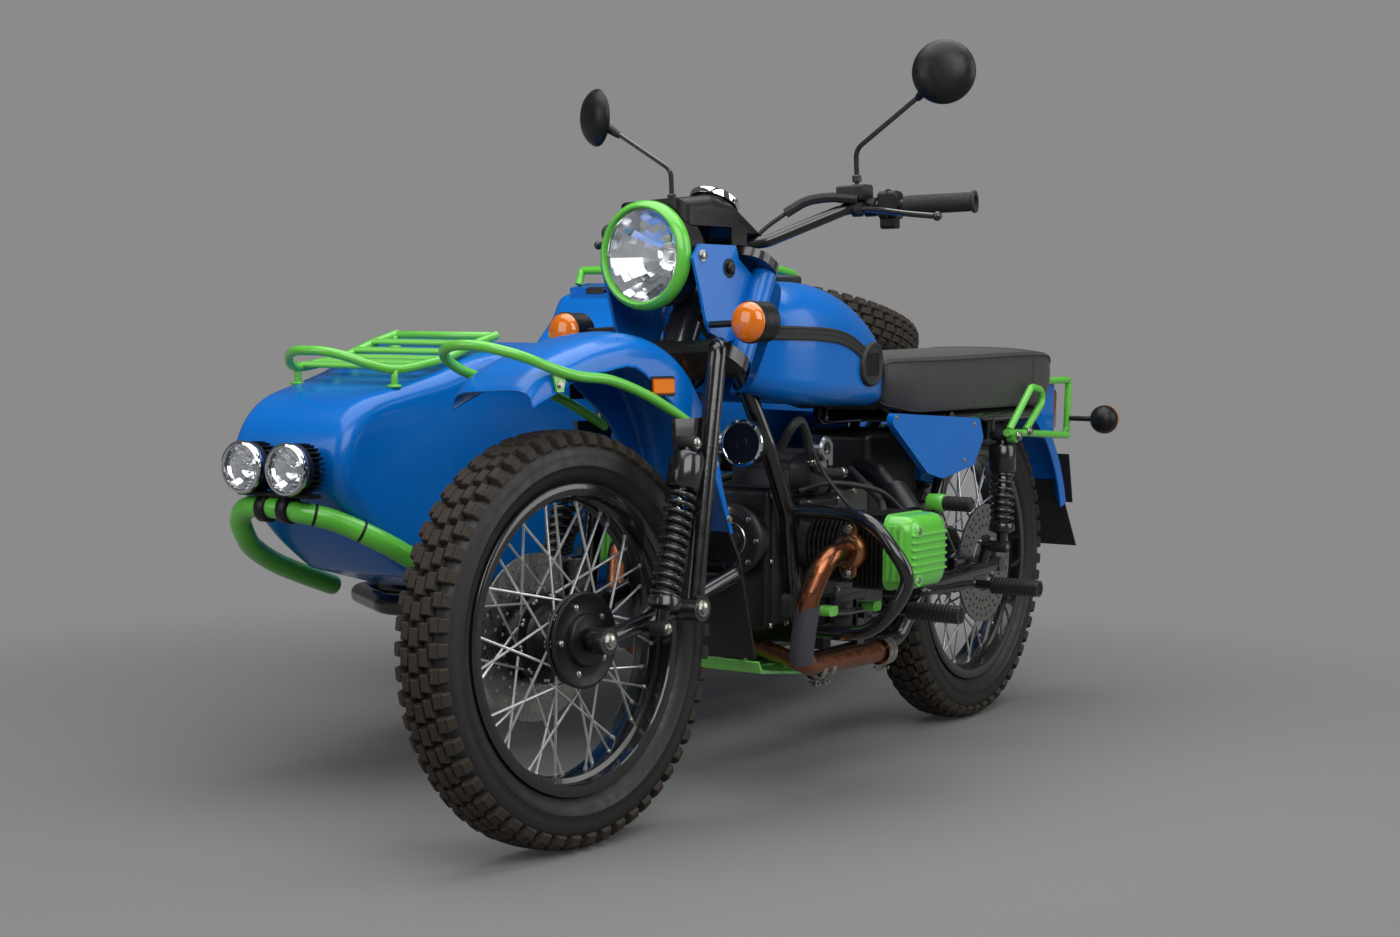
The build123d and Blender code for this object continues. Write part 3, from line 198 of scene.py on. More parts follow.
# ---------------------------------------------------------------- finishes
MIX_A, MIX_B, MIXED = 6, 7, 2       # places of the colour sockets on a Mix node
METRE = 1000                        # millimetres, for a pattern's scale


def linear(colour):
    """Linear red, green, blue and alpha of an sRGB hex colour."""
    parts = [int(colour[i:i + 2], 16) / 255 for i in (1, 3, 5)]
    return [p / 12.92 if p <= 0.04045 else ((p + 0.055) / 1.055) ** 2.4 for p in parts] + [1.0]


def finish(name, colour, other, blotch, rough, spread=0.06, metal=0.0, relief=None, coat=0.0, worn=None,
           clear=0.0, ior=1.5, sheen=0.0, shine=0.5):
    """Surface with two tones in blotches of a size in mm, uneven gloss, relief (size, height) and wear."""
    made = bpy.data.materials.new(name)
    made.use_nodes = True
    tree = made.node_tree
    skin = tree.nodes["Principled BSDF"]
    for label, value in (("Metallic", metal), ("IOR", ior), ("Coat Weight", coat), ("Coat Roughness", 0.04),
                         ("Transmission Weight", clear), ("Sheen Weight", sheen),
                         ("Specular IOR Level", shine)):
        skin.inputs[label].default_value = value
    where = add(tree, "ShaderNodeTexCoord").outputs["Object"]
    cloud = add(tree, "ShaderNodeTexNoise", Vector=where, Scale=METRE / blotch, Detail=4.0, Roughness=0.6)
    tone = add(tree, "ShaderNodeMix", {"data_type": "RGBA"}, Factor=cloud.outputs["Fac"])
    tone.inputs[MIX_A].default_value = linear(colour)
    tone.inputs[MIX_B].default_value = linear(other)
    shown = tone.outputs[MIXED]
    if worn:
        edge = add(tree, "ShaderNodeNewGeometry").outputs["Pointiness"]
        rub = add(tree, "ShaderNodeMapRange", n0=edge, n1=0.53, n2=0.62)
        bare = add(tree, "ShaderNodeMix", {"data_type": "RGBA"}, n0=rub.outputs[0])
        tree.links.new(shown, bare.inputs[MIX_A])
        bare.inputs[MIX_B].default_value = linear(worn)
        shown = bare.outputs[MIXED]
    tree.links.new(shown, skin.inputs["Base Color"])
    scuff = add(tree, "ShaderNodeTexNoise", Vector=where, Scale=METRE / (blotch * 0.35), Detail=6.0)
    gloss = add(tree, "ShaderNodeMapRange", n0=scuff.outputs["Fac"], n1=0.3, n2=0.7,
                n3=max(0.02, rough - spread), n4=rough + spread)
    tree.links.new(gloss.outputs[0], skin.inputs["Roughness"])
    if relief:
        size, height = relief
        grain = add(tree, "ShaderNodeTexNoise", Vector=where, Scale=METRE / size, Detail=3.0)
        bump = add(tree, "ShaderNodeBump", Strength=1.0, Distance=height / METRE, Height=grain.outputs["Fac"])
        tree.links.new(bump.outputs[0], skin.inputs["Normal"])
    return made


# Stoved enamel over steel: deep, even colour with a low shine and a faint orange peel of 7 mm waves.
BLUE = finish("blue_enamel", "#0070CC", "#0066BF", 220, 0.26, 0.03, relief=(7, 0.012), coat=0.2,
              shine=0.3)
# Powder coat on tube and plate: one bright coat, slightly pebbled at 2.4 mm, a little paler on rubbed edges.
GREEN = finish("green_powder_coat", "#64CC3E", "#59BE38", 90, 0.3, 0.05, relief=(2.4, 0.02), coat=0.5,
               worn="#7DD45F")
# Black chassis enamel: glossy, with dull patches of dust and handling.
BLACK = finish("black_enamel", "#0D0D0E", "#141415", 120, 0.24, 0.07, relief=(6, 0.012), coat=0.6,
               worn="#2B2B2D")
# Sand-cast aluminium under black engine paint: 1.6 mm sand grain, satin, metal showing on sharp edges.
CAST = finish("black_cast_aluminium", "#151516", "#1D1D1E", 60, 0.42, 0.1, metal=0.35, relief=(1.6, 0.07),
              worn="#4A4A4B")
# Machined aluminium: bright, with a fine satin from the cutter.
ALUMINIUM = finish("machined_aluminium", "#B4B5B6", "#9C9D9F", 30, 0.3, 0.08, metal=1.0, relief=(0.8, 0.01))
# Zinc-plated fasteners: pale grey with a warm tarnish.
ZINC = finish("zinc_plated_steel", "#C3C2BC", "#9E9C94", 12, 0.26, 0.08, metal=1.0)
# Stainless spokes: drawn wire, bright and nearly even.
STAINLESS = finish("stainless_wire", "#DEDFDE", "#C8C9C8", 40, 0.36, 0.06, metal=0.9)
# Chromed trim: mirror finish.
CHROME = finish("chrome_plate", "#E6E7E8", "#DADBDD", 50, 0.06, 0.02, metal=1.0)
# Vacuum-silvered reflector: mirror-bright, a touch softer than chrome.
SILVERED = finish("silvered_reflector", "#F2F3F5", "#E4E6EA", 50, 0.1, 0.02, metal=1.0)
# Heat-tinted steel header: copper brown, going darker and redder in clouds of 38 mm.
HEADER = finish("heat_tinted_steel", "#B07350", "#7A4630", 38, 0.3, 0.08, metal=1.0, relief=(3, 0.01),
                worn="#C99A70")
# Heat sleeve round the header: grey-violet ceramic coat, matt.
SLEEVE = finish("ceramic_sleeve", "#55545E", "#46454F", 30, 0.55, 0.1, metal=0.3, relief=(1.2, 0.03))
# Brake disc: ground steel, with circular grinding too fine to see but a satin gloss.
DISC = finish("ground_steel", "#9D9C98", "#83827E", 18, 0.32, 0.1, metal=1.0, relief=(1.5, 0.01))
# Tyre compound: brown-black rubber with road dust in clouds, and a 1.4 mm moulded grain.
TREAD = finish("tyre_tread_rubber", "#211C18", "#161310", 14, 0.8, 0.1, relief=(1.4, 0.14), worn="#3A332C",
               shine=0.35)
# Tyre sidewall: cleaner, greyer and smoother than the tread.
SIDEWALL = finish("tyre_sidewall_rubber", "#1E1D1D", "#181717", 45, 0.5, 0.1, relief=(1.2, 0.04))
# Moulded rubber for grips, pads and mudflaps: matt black.
RUBBER = finish("moulded_rubber", "#1B1B1B", "#242424", 25, 0.62, 0.1, relief=(1.3, 0.05))
# Glass-filled nylon for the cover, switches and mirrors: satin black with a 1 mm spark-eroded grain.
NYLON = finish("black_nylon", "#0D0D0E", "#141415", 40, 0.4, 0.08, relief=(1.0, 0.04), shine=0.35)
# Toughened glass of the lamps.
GLASS = finish("lamp_glass", "#FFFFFF", "#F8FBFF", 60, 0.03, 0.01, clear=1.0, ior=1.46)
# Amber acrylic lenses: saturated, partly clear, with moulded prisms.
AMBER = finish("amber_acrylic", "#FF8A0C", "#F67A06", 20, 0.16, 0.03, relief=(5, 0.25), coat=1.0, clear=0.25)
# Amber reflector: prisms moulded into acrylic, lit evenly from any side.
PRISM = finish("prism_acrylic", "#F0820E", "#DE7208", 6, 0.5, 0.05, relief=(4, 0.4), shine=0.3)
# Red acrylic lens.
RED = finish("red_acrylic", "#B8140E", "#9C0F0A", 20, 0.12, 0.03, relief=(5, 0.25), coat=1.0, clear=0.2)
# Mirror glass of the rear-view mirrors.
MIRROR = finish("mirror_glass", "#DDE2E6", "#D6DBE0", 80, 0.03, 0.01, metal=1.0)
# Blank plate: white reflective sheet on aluminium.
WHITE = finish("white_plate", "#D8D8D4", "#CFCFCA", 60, 0.4, 0.05, coat=0.3)


def vinyl():
    """Black seat vinyl: embossed leather grain of 2 mm cells, drawn at 3 mm so that it shows, soft sheen."""
    made = finish("black_seat_vinyl", "#262524", "#1C1B1B", 90, 0.5, 0.07, sheen=0.15)
    tree = made.node_tree
    where = add(tree, "ShaderNodeTexCoord").outputs["Object"]
    cells = add(tree, "ShaderNodeTexVoronoi", {"feature": "DISTANCE_TO_EDGE"}, Vector=where,
                Scale=METRE / 3.0)
    bump = add(tree, "ShaderNodeBump", Strength=0.6, Distance=0.0004, Height=cells.outputs["Distance"])
    tree.links.new(bump.outputs[0], tree.nodes["Principled BSDF"].inputs["Normal"])
    return made


VINYL = vinyl()


# ---------------------------------------------------------------- mesh makers
CREASE = 0.5                        # radians between two faces, past which tidied bevels their edge


def piece_of(name, verts, faces, material):
    """Object with a mesh from points and faces."""
    data = bpy.data.meshes.new(name)
    data.from_pydata([tuple(v) for v in verts], [], faces)
    data.materials.append(material)
    piece = bpy.data.objects.new(name, data)
    bpy.context.scene.collection.objects.link(piece)
    return piece


def laid(piece, place):
    """The piece, put in a place of the drawing."""
    piece.data.transform(place)
    return piece


def moved(piece, step):
    """The piece, moved by a step."""
    return laid(piece, Matrix.Translation(step))


def tidied(piece, bevel=0.0, merge=0.01):
    """Merges doubles, bevels the sharp edges and turns the faces outwards."""
    work = bmesh.new()
    work.from_mesh(piece.data)
    bmesh.ops.remove_doubles(work, verts=work.verts, dist=merge)
    if bevel:
        sharp = [e for e in work.edges if len(e.link_faces) == 2 and e.calc_face_angle() > CREASE]
        bmesh.ops.bevel(work, geom=sharp, offset=bevel, segments=2, affect="EDGES", clamp_overlap=True)
    bmesh.ops.recalc_face_normals(work, faces=work.faces)
    work.to_mesh(piece.data)
    work.free()
    return piece


def lathe(name, profile, material, steps=64, closed=True):
    """Ring about Y from (radius, along) points; an open profile ends on the axis."""
    verts, faces = [], []
    count = len(profile)
    for i in range(steps):
        a = 2 * math.pi * i / steps
        verts += [(r * math.cos(a), y, r * math.sin(a)) for r, y in profile]
    for i in range(steps):
        j = (i + 1) % steps
        for k in range(count if closed else count - 1):
            m = (k + 1) % count
            faces.append((i * count + k, i * count + m, j * count + m, j * count + k))
    return tidied(piece_of(name, verts, faces, material), merge=0.001)


def spun(name, profile, material, steps=64):
    """Solid about Y from a profile that starts and ends on the axis."""
    return lathe(name, profile, material, steps, closed=False)


def rod(name, start, end, r, material, steps=20, bevel=0.0):
    """Round bar between two points, with chamfered ends."""
    length = (Vector(end) - Vector(start)).length
    c = bevel or min(0.15 * r, 1.5)
    piece = spun(name, [(0, 0), (r - c, 0), (r, c), (r, length - c), (r - c, length), (0, length)], material,
                  steps)
    return laid(piece, along(start, end))


def block(name, x0, x1, y0, y1, z0, z1, material, bevel=2.0):
    """Box with bevelled edges."""
    verts = [(x, y, z) for x in (x0, x1) for y in (y0, y1) for z in (z0, z1)]
    faces = [(0, 1, 3, 2), (4, 6, 7, 5), (0, 4, 5, 1), (2, 3, 7, 6), (0, 2, 6, 4), (1, 5, 7, 3)]
    return tidied(piece_of(name, verts, faces, material), bevel)


def plate(name, outline, y0, y1, material, bevel=1.0):
    """Plate with an outline in X and Z, from y0 to y1."""
    count = len(outline)
    verts = [(x, y0, z) for x, z in outline] + [(x, y1, z) for x, z in outline]
    faces = [tuple(range(count)), tuple(range(2 * count - 1, count - 1, -1))]
    faces += [(i, (i + 1) % count, count + (i + 1) % count, count + i) for i in range(count)]
    return tidied(piece_of(name, verts, faces, material), bevel)


def rounded(points, bend):
    """Points of straight runs joined by arcs, for a bent rigid tube."""
    pts = [Vector(p) for p in points]
    out = [pts[0]]
    for a, b, c in zip(pts, pts[1:], pts[2:]):
        u, v = (a - b), (c - b)
        reach = min(bend, 0.45 * u.length, 0.45 * v.length)
        p, q = b + u.normalized() * reach, b + v.normalized() * reach
        out += [p.lerp(b, t).lerp(b.lerp(q, t), t) for t in [k / 8 for k in range(9)]]
    return out + [pts[-1]]


def tube(name, points, r, material, bend=20, sides=14, closed=False):
    """Bent rigid tube."""
    line = bpy.data.curves.new(name, "CURVE")
    line.dimensions = "3D"
    line.bevel_depth = r
    line.bevel_resolution = max(1, sides // 4 - 1)
    line.use_fill_caps = True
    path = rounded(points, bend) if bend else [Vector(p) for p in points]
    spline = line.splines.new("POLY")
    spline.points.add(len(path) - 1)
    spline.use_cyclic_u = closed
    for spot, p in zip(spline.points, path):
        spot.co = (*p, 1)
    holder = bpy.data.objects.new(name, line)
    bpy.context.scene.collection.objects.link(holder)
    bpy.context.view_layer.update()
    data = bpy.data.meshes.new_from_object(holder.evaluated_get(bpy.context.evaluated_depsgraph_get()))
    bpy.data.objects.remove(holder)
    data.materials.clear()
    data.materials.append(material)
    piece = bpy.data.objects.new(name, data)
    bpy.context.scene.collection.objects.link(piece)
    return tidied(piece)


def joined(name, pieces):
    """One object from several, with their materials."""
    target = pieces[0]
    work = bmesh.new()
    mats = []
    for piece in pieces:
        first = len(work.faces)
        work.from_mesh(piece.data)
        work.faces.ensure_lookup_table()
        for m in piece.data.materials:
            if m not in mats:
                mats.append(m)
        for face in work.faces[first:]:
            face.material_index = mats.index(piece.data.materials[face.material_index])
    data = bpy.data.meshes.new(name)
    work.to_mesh(data)
    work.free()
    for m in mats:
        data.materials.append(m)
    for piece in pieces[1:]:
        bpy.data.objects.remove(piece)
    target.data = data
    target.name = name
    return target


def copied(piece, place):
    """Copy of a piece, moved by a matrix; a mirror image gets its faces turned back."""
    twin = piece.copy()
    twin.data = piece.data.copy()
    bpy.context.scene.collection.objects.link(twin)
    twin.data.transform(place)
    if place.determinant() < 0:
        twin.data.flip_normals()
    return twin


def ringed(piece, count, material):
    """Copies of the piece, evenly round +Y."""
    return grown(piece, COPIES, material, Copies=count, Step=(0, 0, 0), Turn=(0, 2 * math.pi / count, 0))


def rowed(piece, count, step, material):
    """Copies of the piece, each a step from the last."""
    return grown(piece, COPIES, material, Copies=count, Step=step, Turn=(0, 0, 0))


def pair(piece):
    """The piece with its mirror image about the middle plane, as one."""
    return joined(piece.name, [piece, copied(piece, MIRRORED)])


SMOOTH = 38             # degrees between two faces, up to which they are shaded as one surface


def settle(piece, place, body, *replaced, angle=SMOOTH):
    """Puts a finished piece in its place, shades it and fastens it to its body."""
    piece.data.transform(place)
    if place.determinant() < 0:
        piece.data.flip_normals()
    piece.data.polygons.foreach_set("use_smooth", [True] * len(piece.data.polygons))
    piece.data.set_sharp_from_angle(angle=math.radians(angle))
    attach(piece, body)
    if replaced:
        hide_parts(*replaced)
    return piece


def on_bike(piece, *replaced, angle=SMOOTH):
    """Settles a piece drawn in the motorcycle's own frame."""
    return settle(piece, BIKE, "motorcycle", *replaced, angle=angle)


def on_fork(piece, *replaced, angle=SMOOTH):
    """Settles a piece of the fork group, drawn with the fork straight ahead."""
    return settle(piece, FORK, "fork_group", *replaced, angle=angle)


def on_sidecar(piece, *replaced, angle=SMOOTH):
    """Settles a piece drawn from the sidecar's middle plane."""
    return settle(piece, SIDECAR, "motorcycle", *replaced, angle=angle)


def screw(r, height, material, sides=6):
    """Hexagon-headed screw on its washer, standing on the origin along +Y."""
    head = spun("screw", [(0, height), (0.8 * r, height), (r, 0.85 * height), (r, 0.25 * height),
                          (0, 0.25 * height)], material, sides)
    washer = spun("washer", [(0, 0.3 * height), (1.25 * r, 0.3 * height), (1.3 * r, 0.2 * height),
                             (1.3 * r, -0.5), (0, -0.5)], material, 16)
    return joined("screw", [head, washer])


def screws(name, spots, settled, r=5, height=5):
    """Screws at ((x, y, z), (direction)) spots, put in place by on_bike or on_fork."""
    made = []
    for spot, way in spots:
        made.append(laid(screw(r, height, ZINC), Matrix.Translation(spot) @ tipped(way)))
    return settled(joined(name, made))


def both_sides(y, *spots):
    """Screw spots at (X, Z) on both sides of the middle plane, standing outwards."""
    return [((x, side * y, z), (0, side, 0)) for side in SIDES for x, z in spots]


# ---------------------------------------------------------------- carried-over nodes
FINISHED = {
    BLACK: ("main_frame crash_bars swing_arm foot_pegs kick_lever sidecar_chassis sidecar_arm "
            "fork leading_link handlebar rear_shocks front_shocks spare_wheel front_wheel "
            "rear_wheel sidecar_wheel"),
    CAST: "engine",
    HEADER: "exhaust_pipes",
    GREEN: ("skid_plate grab_rails nose_rack bumper trunk_rack fender_guard rocker_covers "
            "headlamp_ring"),
    NYLON: ("airbox rear_signals horns headlamp_bucket nacelle hand_controls front_signals "
            "spot_lamps mirrors"),
    BLUE: ("fuel_tank side_covers rear_fender sidecar_tub sidecar_fender trunk_lid front_fender "
           "fork_covers"),
    RED: "tail_lamp",
    RUBBER: "plate_and_flap front_flap",
    VINYL: "bench_seat cockpit_seat",
    GLASS: "headlamp_lens",
    AMBER: "signal_lenses",
    TREAD: "spare_tyre front_tyre rear_tyre sidecar_tyre",
}
for material, names in FINISHED.items():
    for node in names.split():
        nodes[node].data.materials.clear()
        nodes[node].data.materials.append(material)


# ---------------------------------------------------------------- tyres
PITCHES = 54            # repeats of the tread round the tyre
WHEEL_STEPS = 108       # faces round a tyre or rim
LUG_DRAFT = 1.5
LUG_CHAMFER = 1.6
HALF_TYRE = [(242.4, 35.4), (259, 35.4), (262, 40), (268, 45.2), (276, 48.4), (284, 50.4), (284.6, 51.2),
             (286.4, 51.5), (287, 50.8), (300, 51.6), (310, 50.6), (319, 47), (325.5, 40), (329.5, 28),
             (331, 12)]
#        middle, width, tilt, base radius, tip radius, length, offset in pitches
LUGS = [(0.0, 18.0, 0.0, 329.0, 344.8, 28.0, 0.0),
        (20.5, 15.5, 5.0, 328.0, 344.0, 27.0, 0.22), (-20.5, 15.5, -5.0, 328.0, 344.0, 27.0, 0.22),
        (39.5, 13.0, 30.0, 321.0, 340.0, 23.0, 0.5), (-39.5, 13.0, -30.0, 321.0, 340.0, 23.0, 0.5),
        (51.0, 16.0, 68.0, 316.0, 328.5, 21.0, 0.5), (-51.0, 16.0, -68.0, 316.0, 328.5, 21.0, 0.5)]


def both_ways(half):
    """Profile with its mirror image about the middle of the wheel."""
    return half + [(r, -y) for r, y in reversed(half)]


def lug(middle, width, tilt, base, tip, length, offset):
    """One tread block: a drafted block with a chamfered top, without the face that it stands on."""
    levels = [(base, LUG_DRAFT), (tip - LUG_CHAMFER, 0.0), (tip, -LUG_CHAMFER)]
    verts, faces = [], []
    lean = shifted_by(tip, middle, 0) @ turned_by(tilt, "Z")
    spin = Matrix.Rotation(-2 * math.pi * offset / PITCHES, 4, "Y")
    for level, grow in levels:
        w, n = width / 2 + grow, length / 2 + grow
        for y, z in ((-w, -n), (w, -n), (w, n), (-w, n)):
            verts.append(spin @ lean @ Vector((level - tip, y, z)))
    for k in range(2):
        faces += [(4 * k + i, 4 * k + (i + 1) % 4, 4 * k + 4 + (i + 1) % 4, 4 * k + 4 + i) for i in range(4)]
    faces.append((8, 9, 10, 11))
    return piece_of("lug", verts, faces, TREAD)


def tyre(name, place, body, node):
    """Tyre: a smooth carcass with the tread blocks of one pitch repeated round it."""
    settle(lathe(name, both_ways(HALF_TYRE), SIDEWALL, WHEEL_STEPS), place, body, node, angle=60)
    blocks = ringed(joined(name + "_lugs", [lug(*row) for row in LUGS]), PITCHES, TREAD)
    settle(blocks, place, body, angle=30)


# ---------------------------------------------------------------- wheels
SPOKE_SETS = 10
SPOKES_IN_SET = 4
SPOKE_LEAN = 42         # degrees round the hub between a spoke's two ends
SPOKE_HUB = 70
SPOKE_RIM = 236


def spoke_set():
    """Four crossed spokes with their nipples, the part of the wheel that repeats."""
    made = []
    for i in range(SPOKES_IN_SET):
        rim_at = math.radians(360 / (SPOKE_SETS * SPOKES_IN_SET) * i)
        side = 1 if i % 2 else -1
        hub_at = rim_at + math.radians(SPOKE_LEAN if (i // 2) % 2 else -SPOKE_LEAN)
        start = Vector((SPOKE_HUB * math.cos(hub_at), side * 34, SPOKE_HUB * math.sin(hub_at)))
        end = Vector((SPOKE_RIM * math.cos(rim_at), side * 6, SPOKE_RIM * math.sin(rim_at)))
        made.append(rod("spoke", start, end, 2.3, STAINLESS, 8))
        made.append(rod("nipple", end + (start - end).normalized() * 16, end, 3.6, ZINC, 8))
        elbow = start + Vector((0, -side * 8, 0))
        made.append(rod("spoke_head", start + Vector((0, side * 5.5, 0)), elbow, 3.2, STAINLESS, 8))
    return joined("spokes", made)


HOLE_SIDES = 16


def holed_sector(r0, r1, sectors, holes, y0, y1, material):
    """Sector of a brake disc with round holes at (radius, hole radius, share of the sector)."""
    half = math.pi / sectors
    verts, faces = [], []
    bounds = [r0] + [0.5 * (a[0] + b[0]) for a, b in zip(holes, holes[1:])] + [r1]
    for y in (y0, y1):
        for (r, hole, share), low, high in zip(holes, bounds, bounds[1:]):
            at = (share - 0.5) * 2 * half
            inner, outer = [], []
            for k in range(HOLE_SIDES):
                a = 2 * math.pi * k / HOLE_SIDES
                dx, dz = math.cos(a), math.sin(a)
                inner.append((r * math.cos(at) + hole * dx, y, r * math.sin(at) + hole * dz))
                reach = 1 / max(abs(dx), abs(dz))
                u = 0.5 * (low + high) + 0.5 * (high - low) * dx * reach
                v = half * dz * reach
                outer.append((u * math.cos(v), y, u * math.sin(v)))
            first = len(verts)
            verts += inner + outer
            for k in range(HOLE_SIDES):
                m = (k + 1) % HOLE_SIDES
                faces.append([first + i for i in (k, m, HOLE_SIDES + m, HOLE_SIDES + k)])
    count = len(verts) // 2
    for first in range(0, count, 2 * HOLE_SIDES):
        for k in range(HOLE_SIDES):
            a, b = first + k, first + (k + 1) % HOLE_SIDES
            faces.append((a, b, count + b, count + a))
    return piece_of("sector", verts, faces, material)


DISC_SECTORS = 30
DISC_HOLE = 3.6


def brake_disc(name, r, side, place, body):
    """Drilled brake disc on its bell, on the side +1 or -1 of the wheel."""
    holes = [(84, DISC_HOLE, 0.3), (102, DISC_HOLE, 0.62), (r - 14, DISC_HOLE, 0.4)]
    ring = ringed(holed_sector(62, r, DISC_SECTORS, holes, 56, 60, DISC), DISC_SECTORS, DISC)
    edge = spun("edge", [(r - 0.05, 56), (r + 0.15, 56.6), (r + 0.15, 59.4), (r - 0.05, 60)], DISC, 90)
    bore = spun("bore", [(62.05, 56), (61.9, 60)], DISC, 90)
    bell = lathe("bell", [(19, 46.4), (64, 46.4), (64, 57), (56, 61), (50, 52), (19, 51)], BLACK, 64)
    made = joined(name, [ring, edge, bore, bell])
    bolts = ringed(moved(screw(5, 5, ZINC), (57, 61, 0)), 6, ZINC)
    bolts.name = name + "_bolts"
    if side < 0:
        laid(made, MIRRORED)
        laid(bolts, MIRRORED).data.flip_normals()
    settle(tidied(made), place, body)
    settle(bolts, place, body)


def wheel(name, place, body, node):
    """Wire wheel: black rim, steel spokes and a black hub with its flanges."""
    half = [(226, 10), (228, 17), (236, 20), (236, 40), (238, 42.5), (246, 43.4), (254, 43.2), (256.5, 41.5),
            (256, 37.5), (250, 36.2), (242.2, 35.9), (242.2, 17), (234.5, 11.5)]
    settle(lathe(name, both_ways(half), BLACK, WHEEL_STEPS), place, body, node)
    spokes = ringed(spoke_set(), SPOKE_SETS, STAINLESS)
    spokes.name = name + "_spokes"
    settle(spokes, place, body)
    half = [(10.6, 46), (30, 46), (32, 43.5), (46, 43.5), (49, 41), (54, 39.5), (75, 38.5), (77, 36.5),
            (77, 31.5), (75, 29.5), (56, 28.5), (50, 22), (46, 12), (45, 0)]
    hub = lathe(name + "_hub", half + [(r, -y) for r, y in reversed(half[:-1])], CAST, 64)
    settle(hub, place, body)


for kind, hub_place, body in (("front", FRONT_HUB, "front_wheel"), ("rear", REAR_HUB, "rear_wheel"),
                              ("sidecar", SIDE_HUB, "sidecar_wheel"), ("spare", SPARE_HUB, "motorcycle")):
    tyre(kind + "_tyre_dressed", hub_place, body, kind + "_tyre")
    wheel(kind + "_rim", hub_place, body, kind + "_wheel")
brake_disc("front_disc", 140, -1, FRONT_HUB, "front_wheel")
brake_disc("rear_disc", 130, 1, REAR_HUB, "rear_wheel")
brake_disc("sidecar_disc", 130, 1, SIDE_HUB, "sidecar_wheel")

cover = lathe("hub_cover_dressed", [(16, 44), (77.5, 46.3), (80, 47.5), (80, 50.5), (78, 52), (74, 52),
                                    (70, 49.5), (50, 48.8), (45, 50), (43, 58), (41, 60), (27, 60.5),
                                    (25, 61), (16, 61)], NYLON, 96)
settle(cover, FRONT_HUB, "front_wheel")
ring_of_five = ringed(moved(screw(4.6, 4, ZINC), (57, 49, 0)), 5, ZINC)
ring_of_five.name = "hub_cover_screws"
settle(ring_of_five, FRONT_HUB, "front_wheel")


# ---------------------------------------------------------------- coil-over shocks
COIL_PITCH = 15.5


def shock(name, top, low, settled):
    """Pair of coil-over shocks: eyes, cap, coil, damper rod and lower cup."""
    length = (Vector(low) - Vector(top)).length
    made = []
    for centre in (top, low):
        eye = lathe("eye", [(6, -15), (12, -15), (13, -12), (13, 12), (12, 15), (6, 15)], RUBBER, 24)
        made.append(moved(eye, centre))
        bolt = spun("bolt", [(0, 15.6), (5, 15.6), (6, 14.5), (6, -14.5), (5, -15.6), (0, -15.6)], ZINC, 18)
        made.append(moved(bolt, centre))
    shell = [(0, 8), (10, 8), (12, 15), (25, 18), (29, 24), (29.6, 74), (27, 78), (24, 79), (0, 79)]
    made.append(spun("shroud", shell, BLACK, 40))
    made.append(spun("cup", [(0, length - 56), (14, length - 56), (26, length - 52), (28, length - 46),
                              (28, length - 36), (22, length - 32), (12, length - 30), (10, length - 8),
                              (0, length - 8)], BLACK, 40))
    made.append(spun("rod", [(0, 76), (7, 76), (7, length - 52), (0, length - 52)], CHROME, 24))
    made.append(spun("damper", [(0, 120), (15, 120), (17, 124), (17, length - 50), (0, length - 50)], CAST,
                     32))
    for part in made[4:]:
        laid(part, along(top, low))
    seed = piece_of("coil", [(0, 0, 0)], [], BLACK)
    height = length - 128.0
    coil = grown(seed, COIL, BLACK, Turns=height / COIL_PITCH, Radius=22.4, Height=height, Wire=4.4)
    laid(coil, aimed(top, low) @ shifted_by(0, 0, 76))
    whole = joined(name, [made[4], coil] + made[:4] + made[5:])
    settled(pair(whole), name.removesuffix("_dressed"))


shock("front_shocks_dressed", (1306, 128, 658), (1400, 128, 357), on_fork)
shock("rear_shocks_dressed", (82, 134, 632), (76, 134, 392), on_bike)


# ---------------------------------------------------------------- lamps
def dome(name, r, depth, base, material, steps=64, rows=8):
    """Lens about +Y: a rim and a smooth dome, closed behind."""
    profile = [(0, 0), (r, 0), (r, base)]
    for k in range(1, rows + 1):
        a = 0.5 * math.pi * k / rows
        profile.append((r * math.cos(a), base + depth * math.sin(a)))
    profile[-1] = (0, base + depth)
    return spun(name, profile, material, steps)


def facet_bowl(name, r, depth, spokes, rings, material):
    """Reflector about +Y, open towards +Y: flat facets in rings, each tipped a little from its neighbour."""
    verts, faces = [], []
    for k in range(rings):
        r0, r1 = r * (0.2 + 0.8 * k / rings), r * (0.2 + 0.8 * (k + 1) / rings)
        for i in range(spokes):
            a0, a1 = 2 * math.pi * i / spokes, 2 * math.pi * (i + 1) / spokes
            step = 0.9 if (i + k) % 2 else -0.2
            first = len(verts)
            for rr, aa, lift in ((r0, a0, step), (r1, a0, 0), (r1, a1, 0), (r0, a1, -step)):
                y = depth * ((rr / r) ** 2 - 1) + lift
                verts.append((rr * math.cos(aa), y, rr * math.sin(aa)))
            faces.append((first, first + 1, first + 2, first + 3))
    return piece_of(name, verts, faces, material)


AHEAD = turned_by(-90, "Z")          # takes +Y to +X


def lamp_place(x, y, z):
    """Matrix that stands a lamp piece drawn along +Y at a point, facing forward."""
    return shifted_by(x, y, z) @ AHEAD


HEADLAMP = (0, 982)                 # Y and Z of its middle


def on_headlamp(piece, x, *replaced, angle=SMOOTH):
    """Settles a piece of the headlamp, drawn along +Y, at X."""
    return settle(piece, FORK @ lamp_place(x, *HEADLAMP), "fork_group", *replaced, angle=angle)


